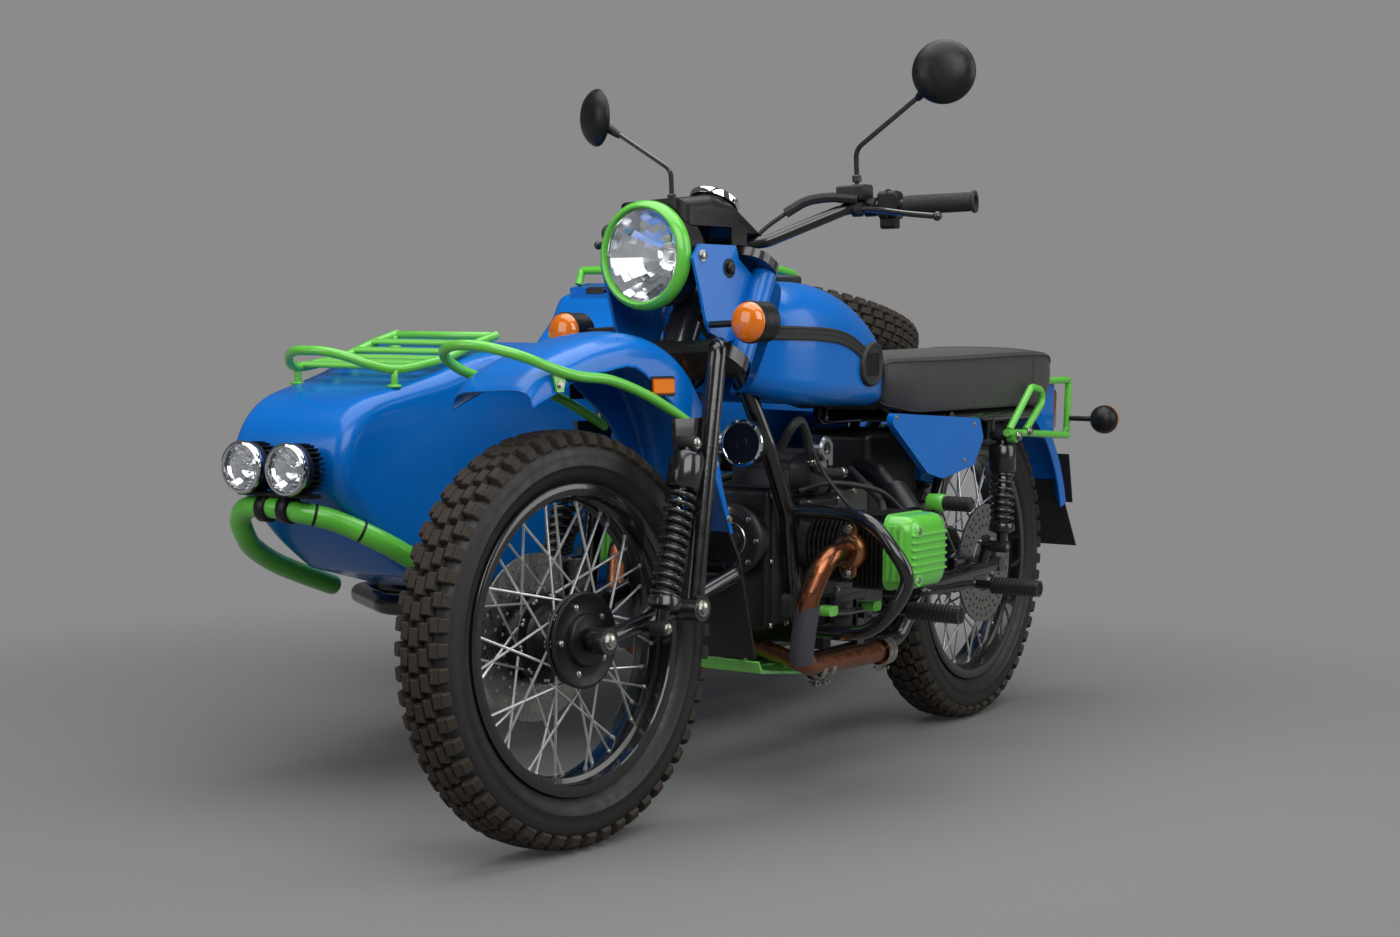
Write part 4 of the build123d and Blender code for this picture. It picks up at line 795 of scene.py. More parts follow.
ring = lathe("headlamp_ring_dressed", [(80.4, 0.4), (94, 0.4), (95, 2), (95, 12), (93.4, 18), (89.5, 23.5),
                                       (85, 26), (82, 25), (80.4, 22)], GREEN, 120)
on_headlamp(ring, 1240, "headlamp_ring")
on_headlamp(dome("headlamp_glass", 80, 13, 2, GLASS, 96, 10), 1253, "headlamp_lens")
on_headlamp(facet_bowl("headlamp_reflector", 77, 62, 30, 7, SILVERED), 1246, angle=3)
shield = spun("headlamp_bulb_shield", [(0, -30), (9, -31), (13, -36), (14, -58), (18, -60), (18, -64),
                                       (0, -64)], CHROME, 40)
on_headlamp(shield, 1246)
rim = lathe("headlamp_rim", [(76.5, -4), (80, -4), (80.2, 5), (78.4, 6.4), (76.5, 4)], CHROME, 96)
on_headlamp(rim, 1246)

SPOT_LAMPS = (-702, -595)           # Y of the outer and the inner lamp
for y in SPOT_LAMPS:
    tag = "outer" if y == SPOT_LAMPS[0] else "inner"
    place = BIKE @ lamp_place(1480, y, 600)
    rim = lathe("spot_rim_" + tag, [(40, 34), (46.8, 33), (48, 36), (48, 43), (46, 46.5), (42, 47.5),
                                    (40, 46)], CHROME, 72)
    settle(rim, place, "motorcycle", *(["spot_lamps"] if tag == "inner" else []))
    settle(dome("spot_glass_" + tag, 41.5, 4, 1.5, GLASS, 60, 6), place @ shifted_by(0, 40, 0), "motorcycle")
    settle(facet_bowl("spot_reflector_" + tag, 40, 26, 16, 5, SILVERED), place @ shifted_by(0, 38.5, 0),
           "motorcycle", angle=3)
    bulb = spun("spot_bulb_" + tag, [(0, 30), (7, 29), (9, 25), (9, 14), (0, 14)], CHROME, 30)
    settle(bulb, place, "motorcycle")
    shell = spun("spot_shell_" + tag, [(0, -18), (24, -18), (30, -14), (33, -8), (35, 12), (43, 16), (46, 20),
                                       (46, 34), (40, 36), (38, 14), (0, 10)], NYLON, 60)
    settle(shell, place, "motorcycle")
    fin = plate("spot_fins_" + tag, [(30, -16), (44, -14), (45.5, 18), (33, 17)], -1.1, 1.1, NYLON, 0.4)
    for v in fin.data.vertices:
        v.co = (v.co.x, v.co.z, v.co.y)
    settle(ringed(tidied(fin), 26, NYLON), place, "motorcycle")
on_bike(block("spot_bracket", 1464, 1500, -735, -562, 547.5, 554, NYLON, 2))
feet = [block("foot", 1474, 1496, y - 20, y + 20, 552, 566, NYLON, 3) for y in SPOT_LAMPS]
on_bike(joined("spot_feet", feet))
screws("spot_screws", [((1485, y + s * 15, 566), (0, 0, 1)) for y in SPOT_LAMPS for s in (-1, 1)], on_bike)

SIGNAL_PLACE = lamp_place(1226.4, 206, 858)
lens = laid(dome("signal_lenses_dressed", 34.5, 19, 7, AMBER, 48, 7), SIGNAL_PLACE)
on_fork(pair(lens), "signal_lenses")
bezel = lathe("signal_bezels", [(33, -2), (36, -2), (36.4, 0), (36.4, 6), (34.6, 7.5), (34.6, 3), (33, 2)],
              NYLON, 48)
on_fork(pair(laid(bezel, SIGNAL_PLACE)))

REAR_SIGNAL = (-444, 156, 650)
back = laid(dome("rear_signals_dressed", 33, 28, 6, NYLON, 48, 8), lamp_place(*REAR_SIGNAL))
stem = rod("stem", (-444, 69, 650), (-444, 128, 650), 6, NYLON)
on_bike(pair(joined("rear_signals_dressed", [back, stem])), "rear_signals")
lens = dome("rear_signal_lenses", 33.5, 9, 5, AMBER, 48, 5)
on_bike(pair(laid(lens, shifted_by(*REAR_SIGNAL) @ turned_by(90, "Z"))))


# ---------------------------------------------------------------- curves and skins
def flowing(points, per=8):
    """Smooth curve through points, per samples to a span."""
    pts = [Vector(p) for p in points]
    pts = [2 * pts[0] - pts[1]] + pts + [2 * pts[-1] - pts[-2]]
    out = []
    for a, b, c, d in zip(pts, pts[1:], pts[2:], pts[3:]):
        for k in range(per):
            t = k / per
            out.append(0.5 * (2 * b + (c - a) * t + (2 * a - 5 * b + 4 * c - d) * t * t
                              + (3 * b - a - 3 * c + d) * t ** 3))
    return out + [pts[-2]]


def hose(name, points, r, material, per=8, sides=14):
    """Tube on a smooth curve through points."""
    return tube(name, flowing(points, per), r, material, 0, sides)


def skin(name, rows, material, loop=True, caps=True):
    """Surface through rows of points; loop closes each row, caps close the ends."""
    count = len(rows[0])
    verts = [v for row in rows for v in row]
    faces = []
    for i in range(len(rows) - 1):
        for k in range(count if loop else count - 1):
            m = (k + 1) % count
            faces.append((i * count + k, i * count + m, (i + 1) * count + m, (i + 1) * count + k))
    if caps:
        faces.append(tuple(range(count)))
        faces.append(tuple(range(len(verts) - count, len(verts))))
    return tidied(piece_of(name, verts, faces, material))


def thick(piece, wall):
    """Gives an open sheet a wall on its inner side."""
    maker = piece.modifiers.new("wall", "SOLIDIFY")
    maker.thickness = wall
    maker.offset = -1
    graph = bpy.context.evaluated_depsgraph_get()
    made = bpy.data.meshes.new_from_object(piece.evaluated_get(graph))
    piece.modifiers.clear()
    piece.data = made
    return piece


def round_box(name, stations, material, sides=6):
    """Box along Y with round edges, through (y, x0, x1, z0, z1, corner radius) stations."""
    rows = []
    for y, x0, x1, z0, z1, r in stations:
        row = []
        for cx, cz, start in ((x1 - r, z1 - r, 0), (x0 + r, z1 - r, 90), (x0 + r, z0 + r, 180),
                              (x1 - r, z0 + r, 270)):
            for k in range(sides + 1):
                a = math.radians(start + 90 * k / sides)
                row.append(Vector((cx + r * math.cos(a), y, cz + r * math.sin(a))))
        rows.append(row)
    return skin(name, rows, material)


# ---------------------------------------------------------------- front fender
#           crown X, Z,   lower edge X, Z
FENDER = [(1650, 757, 1648, 728), (1641, 768, 1638, 733), (1622, 785, 1618, 741), (1588, 804, 1588, 752),
          (1548, 819, 1558, 765), (1508, 831, 1528, 775), (1450, 845, 1465, 784), (1380, 851, 1392, 789),
          (1305, 837, 1325, 745), (1245, 802, 1264, 700), (1196, 738, 1222, 645), (1163, 664, 1186, 592),
          (1140, 580, 1165, 541), (1119, 497, 1146, 494)]
FENDER_BEND = 52.0      # how far down the side the crown's curve reaches
FENDER_WALL = 2.6


def fender_rows(half, inset):
    """Cross-sections of the fender, round over the crown and straight down its sides."""
    crown = flowing([(x, 0, z) for x, z, _, _ in FENDER], 6)
    edge = flowing([(x, 0, z) for _, _, x, z in FENDER], 6)
    rows = []
    for top, low in zip(crown, edge):
        down = low - top
        depth = down.length
        down.normalize()
        bend = min(FENDER_BEND, 0.92 * depth)
        flat = 0.8 - 0.42 * min(1.0, max(0.0, (top.x - 1440) / 180))
        row = []
        for k in range(17):
            a = math.pi / 2 * k / 16
            over = Vector((0, (half - inset) * math.sin(a) ** flat, 0))
            row.append(over + top + down * (inset + bend * (1 - math.cos(a) ** 0.8)))
        if depth > bend:
            row.append(Vector((0, half - inset, 0)) + top + down * (0.5 * (bend + depth)))
        else:
            row.append(row[-1].copy())
        row.append(Vector((0, half - inset, 0)) + top + down * depth)
        rows.append([Vector((p.x, -p.y, p.z)) for p in reversed(row[1:])] + row)
    return rows


rows = fender_rows(88.0, 0.4)
shell = thick(skin("front_fender_dressed", rows, BLUE, loop=False, caps=False), FENDER_WALL)
on_fork(tidied(shell), "front_fender", angle=50)
beads = [tube("bead", [row[k] for row in rows[::2]], FENDER_WALL, BLUE, bend=0, sides=8) for k in (0, -1)]
on_fork(joined("fender_beads", beads))
for side, tag in zip(SIDES, ("left", "right")):
    on_fork(block("reflector_frame_" + tag, 1292, 1358, side * 87.5, side * 91, 738, 772, NYLON, 2))
    on_fork(block("side_reflector_" + tag, 1296, 1354, side * 90, side * 94, 742, 768, PRISM, 2))
screws("fender_screws", both_sides(88, (1186, 618), (1152, 520)), on_fork, r=5.5)
half_guard = [(1258, 97, 688), (1320, 97, 718), (1390, 97, 746), (1470, 97, 768), (1550, 96, 776),
              (1610, 94, 790), (1660, 82, 808), (1696, 54, 822), (1712, 20, 829)]
line = flowing(half_guard + [(x, -y, z) for x, y, z in reversed(half_guard)], 6)
guard = [tube("guard", line, 8.6, GREEN, bend=0, sides=18)]
for side in SIDES:
    guard.append(plate("tab", [(1580, 752), (1594, 752), (1602, 782), (1572, 782)], side * 89, side * 93,
                       GREEN))
on_fork(joined("fender_guard_dressed", guard), "fender_guard")
screws("guard_screws", both_sides(93, (1588, 762)), on_fork, r=5.5)

# ---------------------------------------------------------------- mirrors and hand controls
BAR_IN, BAR_OUT = Vector((909, 192, 1063)), Vector((846, 412, 1061))    # ends of the handlebar's outer run


def bar_point(y):
    """Point on the handlebar's outer run at the distance y from the middle."""
    return BAR_IN.lerp(BAR_OUT, (y - BAR_IN.y) / (BAR_OUT.y - BAR_IN.y))


def on_bar(y):
    """Matrix that takes +Y at the origin to the handlebar's outer run at y."""
    return Matrix.Translation(bar_point(y)) @ tipped(BAR_OUT - BAR_IN)


foot = bar_point(212)
dish_place = shifted_by(foot.x - 6, 396, foot.z + 222) @ turned_by(-66, "Z")
back = spun("back", [(0, 26), (12, 25.8), (24, 24.6), (34, 22), (43, 17.6), (50, 11.6), (54.4, 6), (56, 2.6),
                     (56, 0.4), (55, -0.4), (53.4, -0.4), (52.8, 1.4), (0, 1.4)], NYLON, 80)
laid(back, dish_place)
stalk = tube("stalk", [foot + Vector((0, 0, 14)), foot + Vector((0, 0, 104)),
                       (foot.x - 6, 352, foot.z + 190)], 4.6, BLACK, bend=16)
boss = rod("boss", foot + Vector((0, 0, 10)), foot + Vector((0, 0, 42)), 8.5, BLACK, 24)
nut = rod("nut", foot + Vector((0, 0, 46)), foot + Vector((0, 0, 58)), 8.4, BLACK, 6)
socket = spun("socket", [(0, 0), (5.4, 0), (7, 6), (9.5, 30), (9, 44), (4, 56), (0, 58)], NYLON, 28)
laid(socket, along((foot.x - 6, 340, foot.z + 181), (foot.x + 6, 388, foot.z + 215)))
clamp = laid(lathe("clamp", [(11.3, 0), (15, 0), (16, 1), (16, 17), (15, 18), (11.3, 18)], NYLON, 36),
             on_bar(203))
on_fork(pair(joined("mirrors_dressed", [back, stalk, boss, nut, socket, clamp])), "mirrors")
face = spun("mirror_faces", [(0, 0.2), (52.6, 0.2), (52.6, 1.2), (0, 1.2)], MIRROR, 80)
on_fork(pair(laid(face, dish_place)))

grip = lathe("grips", [(11.4, 0), (15.5, 0), (16.4, 2), (16.4, 122), (19.4, 124), (20.4, 127), (19.4, 130),
                       (11.4, 130)], RUBBER, 48)
ribs = rowed(lathe("ribs", [(15.8, 6), (17.1, 6.4), (17.1, 8), (15.8, 8.4)], RUBBER, 48), 27, (0, 4.2, 0),
             RUBBER)
on_fork(pair(laid(joined("grips", [grip, ribs]), on_bar(296))), "hand_controls")
housing = round_box("switch", [(-18, -20, 22, -20, 23, 9), (-15, -23, 25, -23, 26, 9),
                               (15, -23, 25, -23, 26, 9), (18, -20, 22, -20, 23, 9)], NYLON)
under = round_box("under", [(-15, -14, 18, -40, -18, 5), (12, -14, 18, -40, -18, 5)], NYLON)
button = block("button", -8, 6, -9, 1, 24, 30, NYLON, 2)
knob = rod("knob", (-22, 6, 6), (-29, 6, 6), 6, RUBBER)
seam = block("seam", -23.6, 25.6, -0.6, 0.6, -23.6, 26.6, RUBBER, 0.2)
switch = joined("switches", [housing, under, button, knob, seam])
on_fork(pair(laid(switch, on_bar(271))))
pivot = bar_point(236)
perch = laid(lathe("perch", [(11.4, 0), (16, 0), (17, 1), (17, 20), (16, 21), (11.4, 21)], NYLON, 36),
             on_bar(226))
arm = block("perch_arm", pivot.x + 8, pivot.x + 40, 222, 246, pivot.z - 12, pivot.z + 6, NYLON, 4)
tank_top = round_box("reservoir", [(186, pivot.x + 2, pivot.x + 36, pivot.z + 10, pivot.z + 40, 6),
                                   (236, pivot.x - 8, pivot.x + 26, pivot.z + 10, pivot.z + 40, 6)], NYLON)
barrel = tube("barrel", [(pivot.x + 24, 226, pivot.z + 14), (pivot.x + 32, 172, pivot.z + 22),
                         (944, 128, pivot.z + 18), (966, 98, pivot.z - 4)], 9, RUBBER, bend=24)
on_fork(pair(joined("perches", [perch, arm, tank_top, barrel])))
blade = tube("lever", [(pivot.x + 34, 232, pivot.z - 4), (pivot.x + 42, 285, pivot.z - 11),
                       (pivot.x + 36, 330, pivot.z - 20), (pivot.x + 23, 384, pivot.z - 28)], 5, BLACK,
             bend=16)
ball = spun("ball", [(0, -8.5), (5, -7), (8, -3), (8.5, 0), (8, 3), (5, 7), (0, 8.5)], BLACK, 24)
on_fork(pair(joined("levers", [blade, moved(ball, (pivot.x + 22, 387, pivot.z - 28))])))
bar_hose = hose("bar_hoses", [(966, 98, pivot.z - 4), (986, 74, 1038), (1004, 58, 1018), (1024, 50, 1004)], 4,
                RUBBER, per=6)
on_fork(pair(bar_hose))
bezel = lathe("gauge_bezel", [(36, -2), (45.4, -2), (46, 0), (46, 9), (44, 11), (41, 10.4), (39, 8),
                              (36, 7.4)], CHROME, 72)
dial_place = shifted_by(1062, 0, 1058) @ tipped((-0.5, 0, 0.87))
on_fork(laid(bezel, dial_place @ shifted_by(0, 24, 0)))
tick = block("dial_marks", 27, 36, 32.1, 32.7, -0.8, 0.8, WHITE, 0)
marks = grown(tick, COPIES, WHITE, Copies=28, Step=(0, 0, 0), Turn=(0, math.radians(10), 0))
on_fork(laid(marks, dial_place))
needle = plate("dial_needle", [(-8, -2), (26, -0.7), (26, 0.7), (-8, 2)], 33.2, 34, AMBER, 0.2)
on_fork(laid(needle, dial_place @ turned_by(70, "Y")))
for side, tag in zip(SIDES, ("left", "right")):
    ear = spun("ear_bolt_" + tag, [(0, 9), (7, 9), (10, 6), (10, 1.5), (17, 1), (17, -0.5), (0, -0.5)], NYLON,
               36)
    on_fork(laid(ear, shifted_by(1148, side * 104, 956) @ turned_by(0 if side > 0 else 180, "Z")))
screws("lamp_screws", both_sides(104, (1222, 976)), on_fork, r=8, height=6)
screws("fork_screws", both_sides(140, (1300, 380)) + both_sides(103, (1500, 345)), on_fork, r=11, height=9)
screws("shock_screws", both_sides(144, (1306, 658)) + both_sides(144, (1400, 357)), on_fork, r=7, height=6)
brake_hose = hose("front_brake_hose", [(1168, -98, 820), (1196, -122, 740), (1262, -148, 600),
                                       (1316, -150, 500), (1372, -110, 452), (1390, -92, 424)], 3.6, RUBBER)
on_fork(brake_hose)

# ---------------------------------------------------------------- tank strip, knee pads and cap
to_bike = BIKE.inverted()
tank_mesh = nodes["fuel_tank"].data
TANK = BVHTree.FromPolygons([to_bike @ v.co for v in tank_mesh.vertices],
                            [tuple(p.vertices) for p in tank_mesh.polygons])


def on_tank(x, z):
    """Point and normal of the tank's left side at X and Z."""
    spot, normal, _, _ = TANK.ray_cast(Vector((x, 260, z)), Vector((0, -1, 0)))
    return (spot, normal) if spot else (Vector((x, 100, z)), Vector((0, 1, 0)))


line = [(1046, 852), (1000, 851), (950, 850), (900, 848), (850, 843), (800, 832), (750, 814), (716, 800)]
path = [p.to_2d() for p in flowing([(x, z, 0) for x, z in line], 4)]
profile = [(-13, -1.5), (-12.4, 2.6), (-9, 3.8), (-7.4, 2.6), (-1.4, 2.6), (0, 3.4), (1.4, 2.6), (7.4, 2.6),
           (9, 3.8), (12.4, 2.6), (13, -1.5)]
rows = []
for i, (x, z) in enumerate(path):
    spot, normal = on_tank(x, z)
    ahead_spot = on_tank(*path[min(i + 1, len(path) - 1)])[0]
    behind = on_tank(*path[max(i - 1, 0)])[0]
    across = normal.cross((ahead_spot - behind).normalized()).normalized()
    rows.append([spot + across * u + normal * h for u, h in profile])
strip = skin("tank_strips", rows, RUBBER)
on_bike(pair(strip), angle=25)

PAD_SIDES = 48
#       share of the pad's outline, height over the tank
PAD = [(1.0, -1.5), (1.0, 2.5), (0.985, 5.5), (0.94, 8.0), (0.88, 8.6), (0.82, 7.6), (0.78, 5.2), (0.7, 4.8),
       (0.55, 4.8), (0.4, 4.9), (0.25, 5.0), (0.12, 5.0), (0.02, 5.0)]
rows = []
for share, lift in PAD:
    row = []
    for i in range(PAD_SIDES):
        a = 2 * math.pi * i / PAD_SIDES
        c, s = math.cos(a), math.sin(a)
        spot, normal = on_tank(704 + 62 * share * math.copysign(abs(c) ** 0.85, c) - 6 * s * share,
                               792 + 42 * share * s)
        row.append(spot + normal * lift)
    rows.append(row)
pad = skin("knee_pads", rows, RUBBER)
bars = []
for k in range(7):
    x = 672 + 11 * k
    spot, normal = on_tank(x, 792)
    bars.append(block("bar", x - 1.8, x + 1.8, spot.y + 3, spot.y + 7.4, 792 - 22, 792 + 22, RUBBER, 1))
on_bike(pair(joined("knee_pads", [pad] + bars)), angle=30)

cap = spun("tank_cap_dressed", [(0, 0), (40, 0), (41.5, 3), (41.5, 18), (39, 21), (34, 22.5), (0, 23.5)],
           RUBBER, 60)
on_bike(laid(cap, shifted_by(814, 0, 936) @ turned_by(90, "X")))

# ---------------------------------------------------------------- bench seat
#        X,   half, top, low
BENCH = [(604.6, 119, 803, 716), (590, 125, 807, 709), (540, 134, 809, 701), (480, 139, 810, 694),
         (300, 141, 812, 693.5), (100, 141, 816, 693.5), (-60, 141, 818, 693.5), (-140, 139, 815, 694),
         (-168, 134, 806, 700), (-184, 125, 790, 716), (-191, 112, 768, 736)]


def flowing_table(rows, per):
    """Smooth table through rows of four numbers."""
    first = flowing([(r[0], r[1], r[2]) for r in rows], per)
    last = flowing([(r[0], r[3], 0) for r in rows], per)
    return [(a.x, a.y, a.z, b.y) for a, b in zip(first, last)]


BENCH_CROWN = 13        # rise of the top over its seam


def bench_rows():
    """Cross-sections of the bench: crowned top, sides that bulge between seam and hem, hollow below."""
    rows, seam, hem = [], [], []
    for x, half, top, low in flowing_table(BENCH, 6):
        edge = top - BENCH_CROWN
        tall = edge - low
        side = [Vector((x, 100, low))]
        for t in [k / 8 for k in range(9)]:
            side.append(Vector((x, half - 3 - 9 * (1 - t) ** 2 + 5 * math.sin(math.pi * t), low + tall * t)))
        over = []
        for k in range(1, 12):
            a = math.pi / 2 * k / 12
            over.append(Vector((x, (half - 3) * math.cos(a) ** 0.75,
                                edge + BENCH_CROWN * math.sin(a) ** 0.8)))
        left = side + over
        roof = min(756 if x < 262 else 714 if x < 440 else 792, top - 14)
        if x > 440 or x < -150:
            roof = low + 1
        inner = [Vector((x, -100, roof)), Vector((x, 100, roof))]
        rows.append(left + [Vector((x, 0, top))] + [Vector((p.x, -p.y, p.z)) for p in reversed(left)] + inner)
        seam.append(side[-1])
        hem.append(side[1])
    return rows, seam, hem


rows, seam, hem = bench_rows()
bench = skin("bench_dressed", rows, VINYL)
on_bike(bench, "bench_seat", angle=60)
piping = tube("bench_piping", [p + Vector((0, 1.2, 0)) for p in seam], 2.3, VINYL, bend=0, sides=8)
on_bike(pair(piping))
welt = tube("bench_hem", [p + Vector((0, 0.6, 1)) for p in hem], 2.0, RUBBER, bend=0, sides=8)
on_bike(pair(welt))
row_at = min(range(len(rows)), key=lambda i: abs(rows[i][0].x + 60))
upright = tube("bench_cross_seam", [p + Vector((0, 0.4 if p.y > 0 else -0.4, 0.3))
                                    for p in rows[row_at][1:-3]], 1.5, VINYL, bend=0, sides=8)
on_bike(upright)


def threads(name, points):
    """Row of stitches in the bench, along a line of points."""
    data = bpy.data.meshes.new(name)
    data.from_pydata([tuple(p) for p in points], [(i, i + 1) for i in range(len(points) - 1)], [])
    piece = bpy.data.objects.new(name, data)
    bpy.context.scene.collection.objects.link(piece)
    on_bike(grown(piece, STITCHES, VINYL, Spacing=7.0, Length=4.6, Thread=1.3))


threads("bench_stitches_left", [p + Vector((0, -4, 5)) for p in seam])
threads("bench_stitches_right", [Vector((p.x, 4 - p.y, p.z + 5)) for p in seam])

# ---------------------------------------------------------------- engine
body = round_box("rocker_covers_dressed", [(292.3, 779, 935, 393, 527, 24), (322, 779, 935, 393, 527, 26),
                                           (336, 782, 932, 396, 524, 28), (343, 788, 927, 402, 518, 28),
                                           (347, 798, 918, 412, 508, 26), (348, 815, 900, 430, 490, 20)],
                 GREEN, 8)
rib = round_box("rib", [(338, 790, 926, 424, 430, 2.9), (347, 790, 926, 424, 430, 2.9),
                        (350, 794, 922, 425.2, 428.8, 1.7)], GREEN, 3)
ribs = rowed(rib, 6, (0, 0, 13.2), GREEN)
front = [block("rib", 930, 939.5, y - 3, y + 3, 410, 510, GREEN, 1.5) for y in (301, 314, 327)]
lip = round_box("lip", [(292.2, 777.6, 936.6, 391.4, 528.6, 24), (298, 777.6, 936.6, 391.4, 528.6, 24)],
                GREEN, 8)
collars = [moved(lathe("collar", [(6, 0), (11, 0), (11, 4), (6, 4)], GREEN, 24), (x, 345.5, z))
           for x, z in ((905, 500), (905, 412))]
on_bike(pair(joined("rocker_covers_dressed", [body, ribs, lip] + front + collars)), "rocker_covers", angle=32)
screws("rocker_screws", both_sides(346, (905, 500), (905, 412)), on_bike, r=6, height=6)

path = [(924, 94, 522), (952, 190, 529), (982, 284, 520), (994, 342, 474), (986, 366, 422), (994, 344, 370),
        (978, 288, 326), (944, 200, 310), (884, 94, 300)]
bar = hose("crash_bars_dressed", path, 13, BLACK, per=10, sides=20)
on_bike(pair(bar), "crash_bars")

COVER_PLACE = shifted_by(972, 0, 470) @ AHEAD
cover = spun("engine_cover", [(0, 12), (20, 12), (22, 9), (44, 9), (46, 12), (60, 11), (66, 6), (67, 0),
                              (0, 0)], CAST, 72)
on_bike(laid(cover, COVER_PLACE))
ring = lathe("engine_cover_ring", [(30, 10), (31.5, 11.6), (33, 10)], ALUMINIUM, 72)
on_bike(laid(ring, COVER_PLACE))
bolts = ringed(moved(screw(4.5, 4, ZINC), (56, 11, 0)), 8, ZINC)
bolts.name = "engine_cover_screws"
settle(bolts, BIKE @ COVER_PLACE, "motorcycle")

on_bike(pair(rowed(block("sump_fins", 604, 742, 87.6, 92.5, 300, 303, CAST, 0.8), 9, (0, 0, 14), CAST)))
starter = [(62, 800, 874, 552, 626, 30), (108, 800, 874, 552, 626, 30), (114, 806, 868, 558, 620, 26)]
pump = [(80, 884, 930, 320, 372, 14), (100, 884, 930, 320, 372, 14), (104, 889, 925, 325, 367, 12)]
cast = [round_box("starter", starter, CAST), round_box("pump", pump, CAST),
        block("top_case", 744, 872, -70, 70, 546, 606, CAST, 10),
        block("throttle_bridge", 790, 842, -96, 96, 604, 632, CAST, 8)]
on_bike(joined("engine_castings", cast))
throttle = lathe("throttle", [(13, 0), (22, 0), (24, 2), (24, 26), (20, 30), (13, 30)], ALUMINIUM, 40)
throttle = moved(throttle, (838, 92, 636))
lug_arm = block("arm", 806, 830, 96, 118, 600, 650, ALUMINIUM, 4)
foot_arm = block("foot_arm", 826, 862, 98, 116, 596, 616, ALUMINIUM, 3)
on_bike(pair(joined("throttle_bodies", [throttle, lug_arm, foot_arm])))
pipes = [hose("hose", [(946, 84, 640), (950, 106, 676), (928, 114, 690), (902, 114, 660), (884, 114, 616),
                       (862, 112, 598), (812, 112, 590), (768, 110, 588)], 9, RUBBER),
         hose("hose", [(700, 96, 590), (740, 150, 566), (790, 210, 540), (826, 236, 516)], 7, RUBBER),
         hose("hose", [(900, 98, 560), (870, 150, 575), (800, 210, 560), (742, 232, 520)], 5, RUBBER)]
on_bike(pair(joined("engine_hoses", pipes)))
ends = [rod("end", (768, 110, 588), (752, 110, 587), 11, ZINC),
        rod("end", (880, 114, 610), (886, 114, 620), 11, ZINC)]
on_bike(pair(joined("hose_clips", ends)))
lead = [hose("lead", [(910, 222, 520), (934, 214, 548), (930, 170, 592), (880, 110, 640)], 3.6, RUBBER),
        rod("plug_cap", (900, 226, 506), (916, 220, 528), 8, RUBBER, 20)]
on_bike(pair(joined("plug_leads", lead)))
push = [rod("push_tube", (x, 108, 414), (x, 224, 400), 9, CHROME) for x in (830, 868)]
on_bike(pair(joined("push_tubes", push)))
flange = round_box("flange", [(0, -17, 17, -50, 50, 16.5), (8, -17, 17, -50, 50, 16.5),
                              (9, -15, 15, -48, 48, 14.5)], HEADER)
collar = lathe("collar", [(20.5, -2), (30, -2), (32, 2), (32, 9), (28, 13), (20.5, 14)], HEADER, 48)
on_bike(pair(laid(joined("header_flanges", [flange, collar]), lamp_place(932, 224, 459))))
screws("header_nuts", [((942, s * 224, 459 + w), (1, 0, 0)) for s in SIDES for w in (40, -40)], on_bike, r=7,
       height=10)
CASE_SCREWS = {96.5: ((746, 536), (860, 536), (746, 362), (868, 362), (746, 450)),
               66.5: ((890, 552), (944, 552), (944, 430), (944, 312), (890, 312)),
               88.5: ((612, 546), (670, 546), (732, 546), (612, 430), (612, 290), (732, 276))}
case_spots = [((x, y, z), (0, 1, 0)) for y, row in CASE_SCREWS.items() for x, z in row]
case_spots += [((x, -y, z), (0, -1, 0)) for (x, y, z), _ in case_spots]
screws("case_screws", case_spots, on_bike)
sleeve = hose("header_sleeves", [(1049, 203, 372), (1046.5, 196, 330), (1042, 188, 290), (1036, 184, 268)],
              21.8, SLEEVE, per=6, sides=28)
on_bike(pair(sleeve))


def band(name, x, y, z, r, width):
    """Pipe clamp about X with its screw lugs."""
    ring = laid(lathe("ring", [(r, 0), (r + 2.4, 0.4), (r + 2.4, width - 0.4), (r, width)], ZINC, 48), AHEAD)
    lug_block = block("lug", 2, width - 2, -5, 5, -r - 13, -r, ZINC, 1.2)
    bolt_rod = rod("bolt", (width / 2, -12, -r - 7), (width / 2, 12, -r - 7), 3, ZINC, 12)
    return moved(joined(name, [ring, lug_block, bolt_rod]), (x, y, z))


bands = [band("band", x, 176, 247, r, 14) for x, r in ((930, 21), (964, 21), (712, 25.4), (696, 25.4))]
on_bike(pair(joined("pipe_clamps", bands)))
tail = spun("silencer_dressed", [(0, 0), (20, 0), (36, 3), (39, 8), (39, 528), (36, 534), (16, 536),
                                 (0, 536)], BLACK, 56)
on_bike(laid(tail, along((645.5, -184, 250), (109.5, -192, 262))))

horn = lathe("horn_ring", [(32, 0), (40.6, 0), (42.5, 3), (42, 7), (38, 9), (34, 6), (32, 2)], CHROME, 56)
HORN_PLACE = lamp_place(1076, 82, 655)
on_bike(laid(horn, HORN_PLACE))
on_bike(laid(lathe("horn_grille", [(9, 6), (10.5, 7), (12, 6)], NYLON, 40), HORN_PLACE))


# ---------------------------------------------------------------- footrests, levers and small trim
def ribbed_rubber(x, z, near, far, r, ring, count, step, sides=32):
    """Pieces of a round rubber along Y: its core from near to far, and a ring repeated along it."""
    rings = rowed(lathe("rings", ring, RUBBER, sides), count, (0, step, 0), RUBBER)
    return [rod("core", (x, near, z), (x, far, z), r, RUBBER, sides), moved(rings, (x, 0, z))]


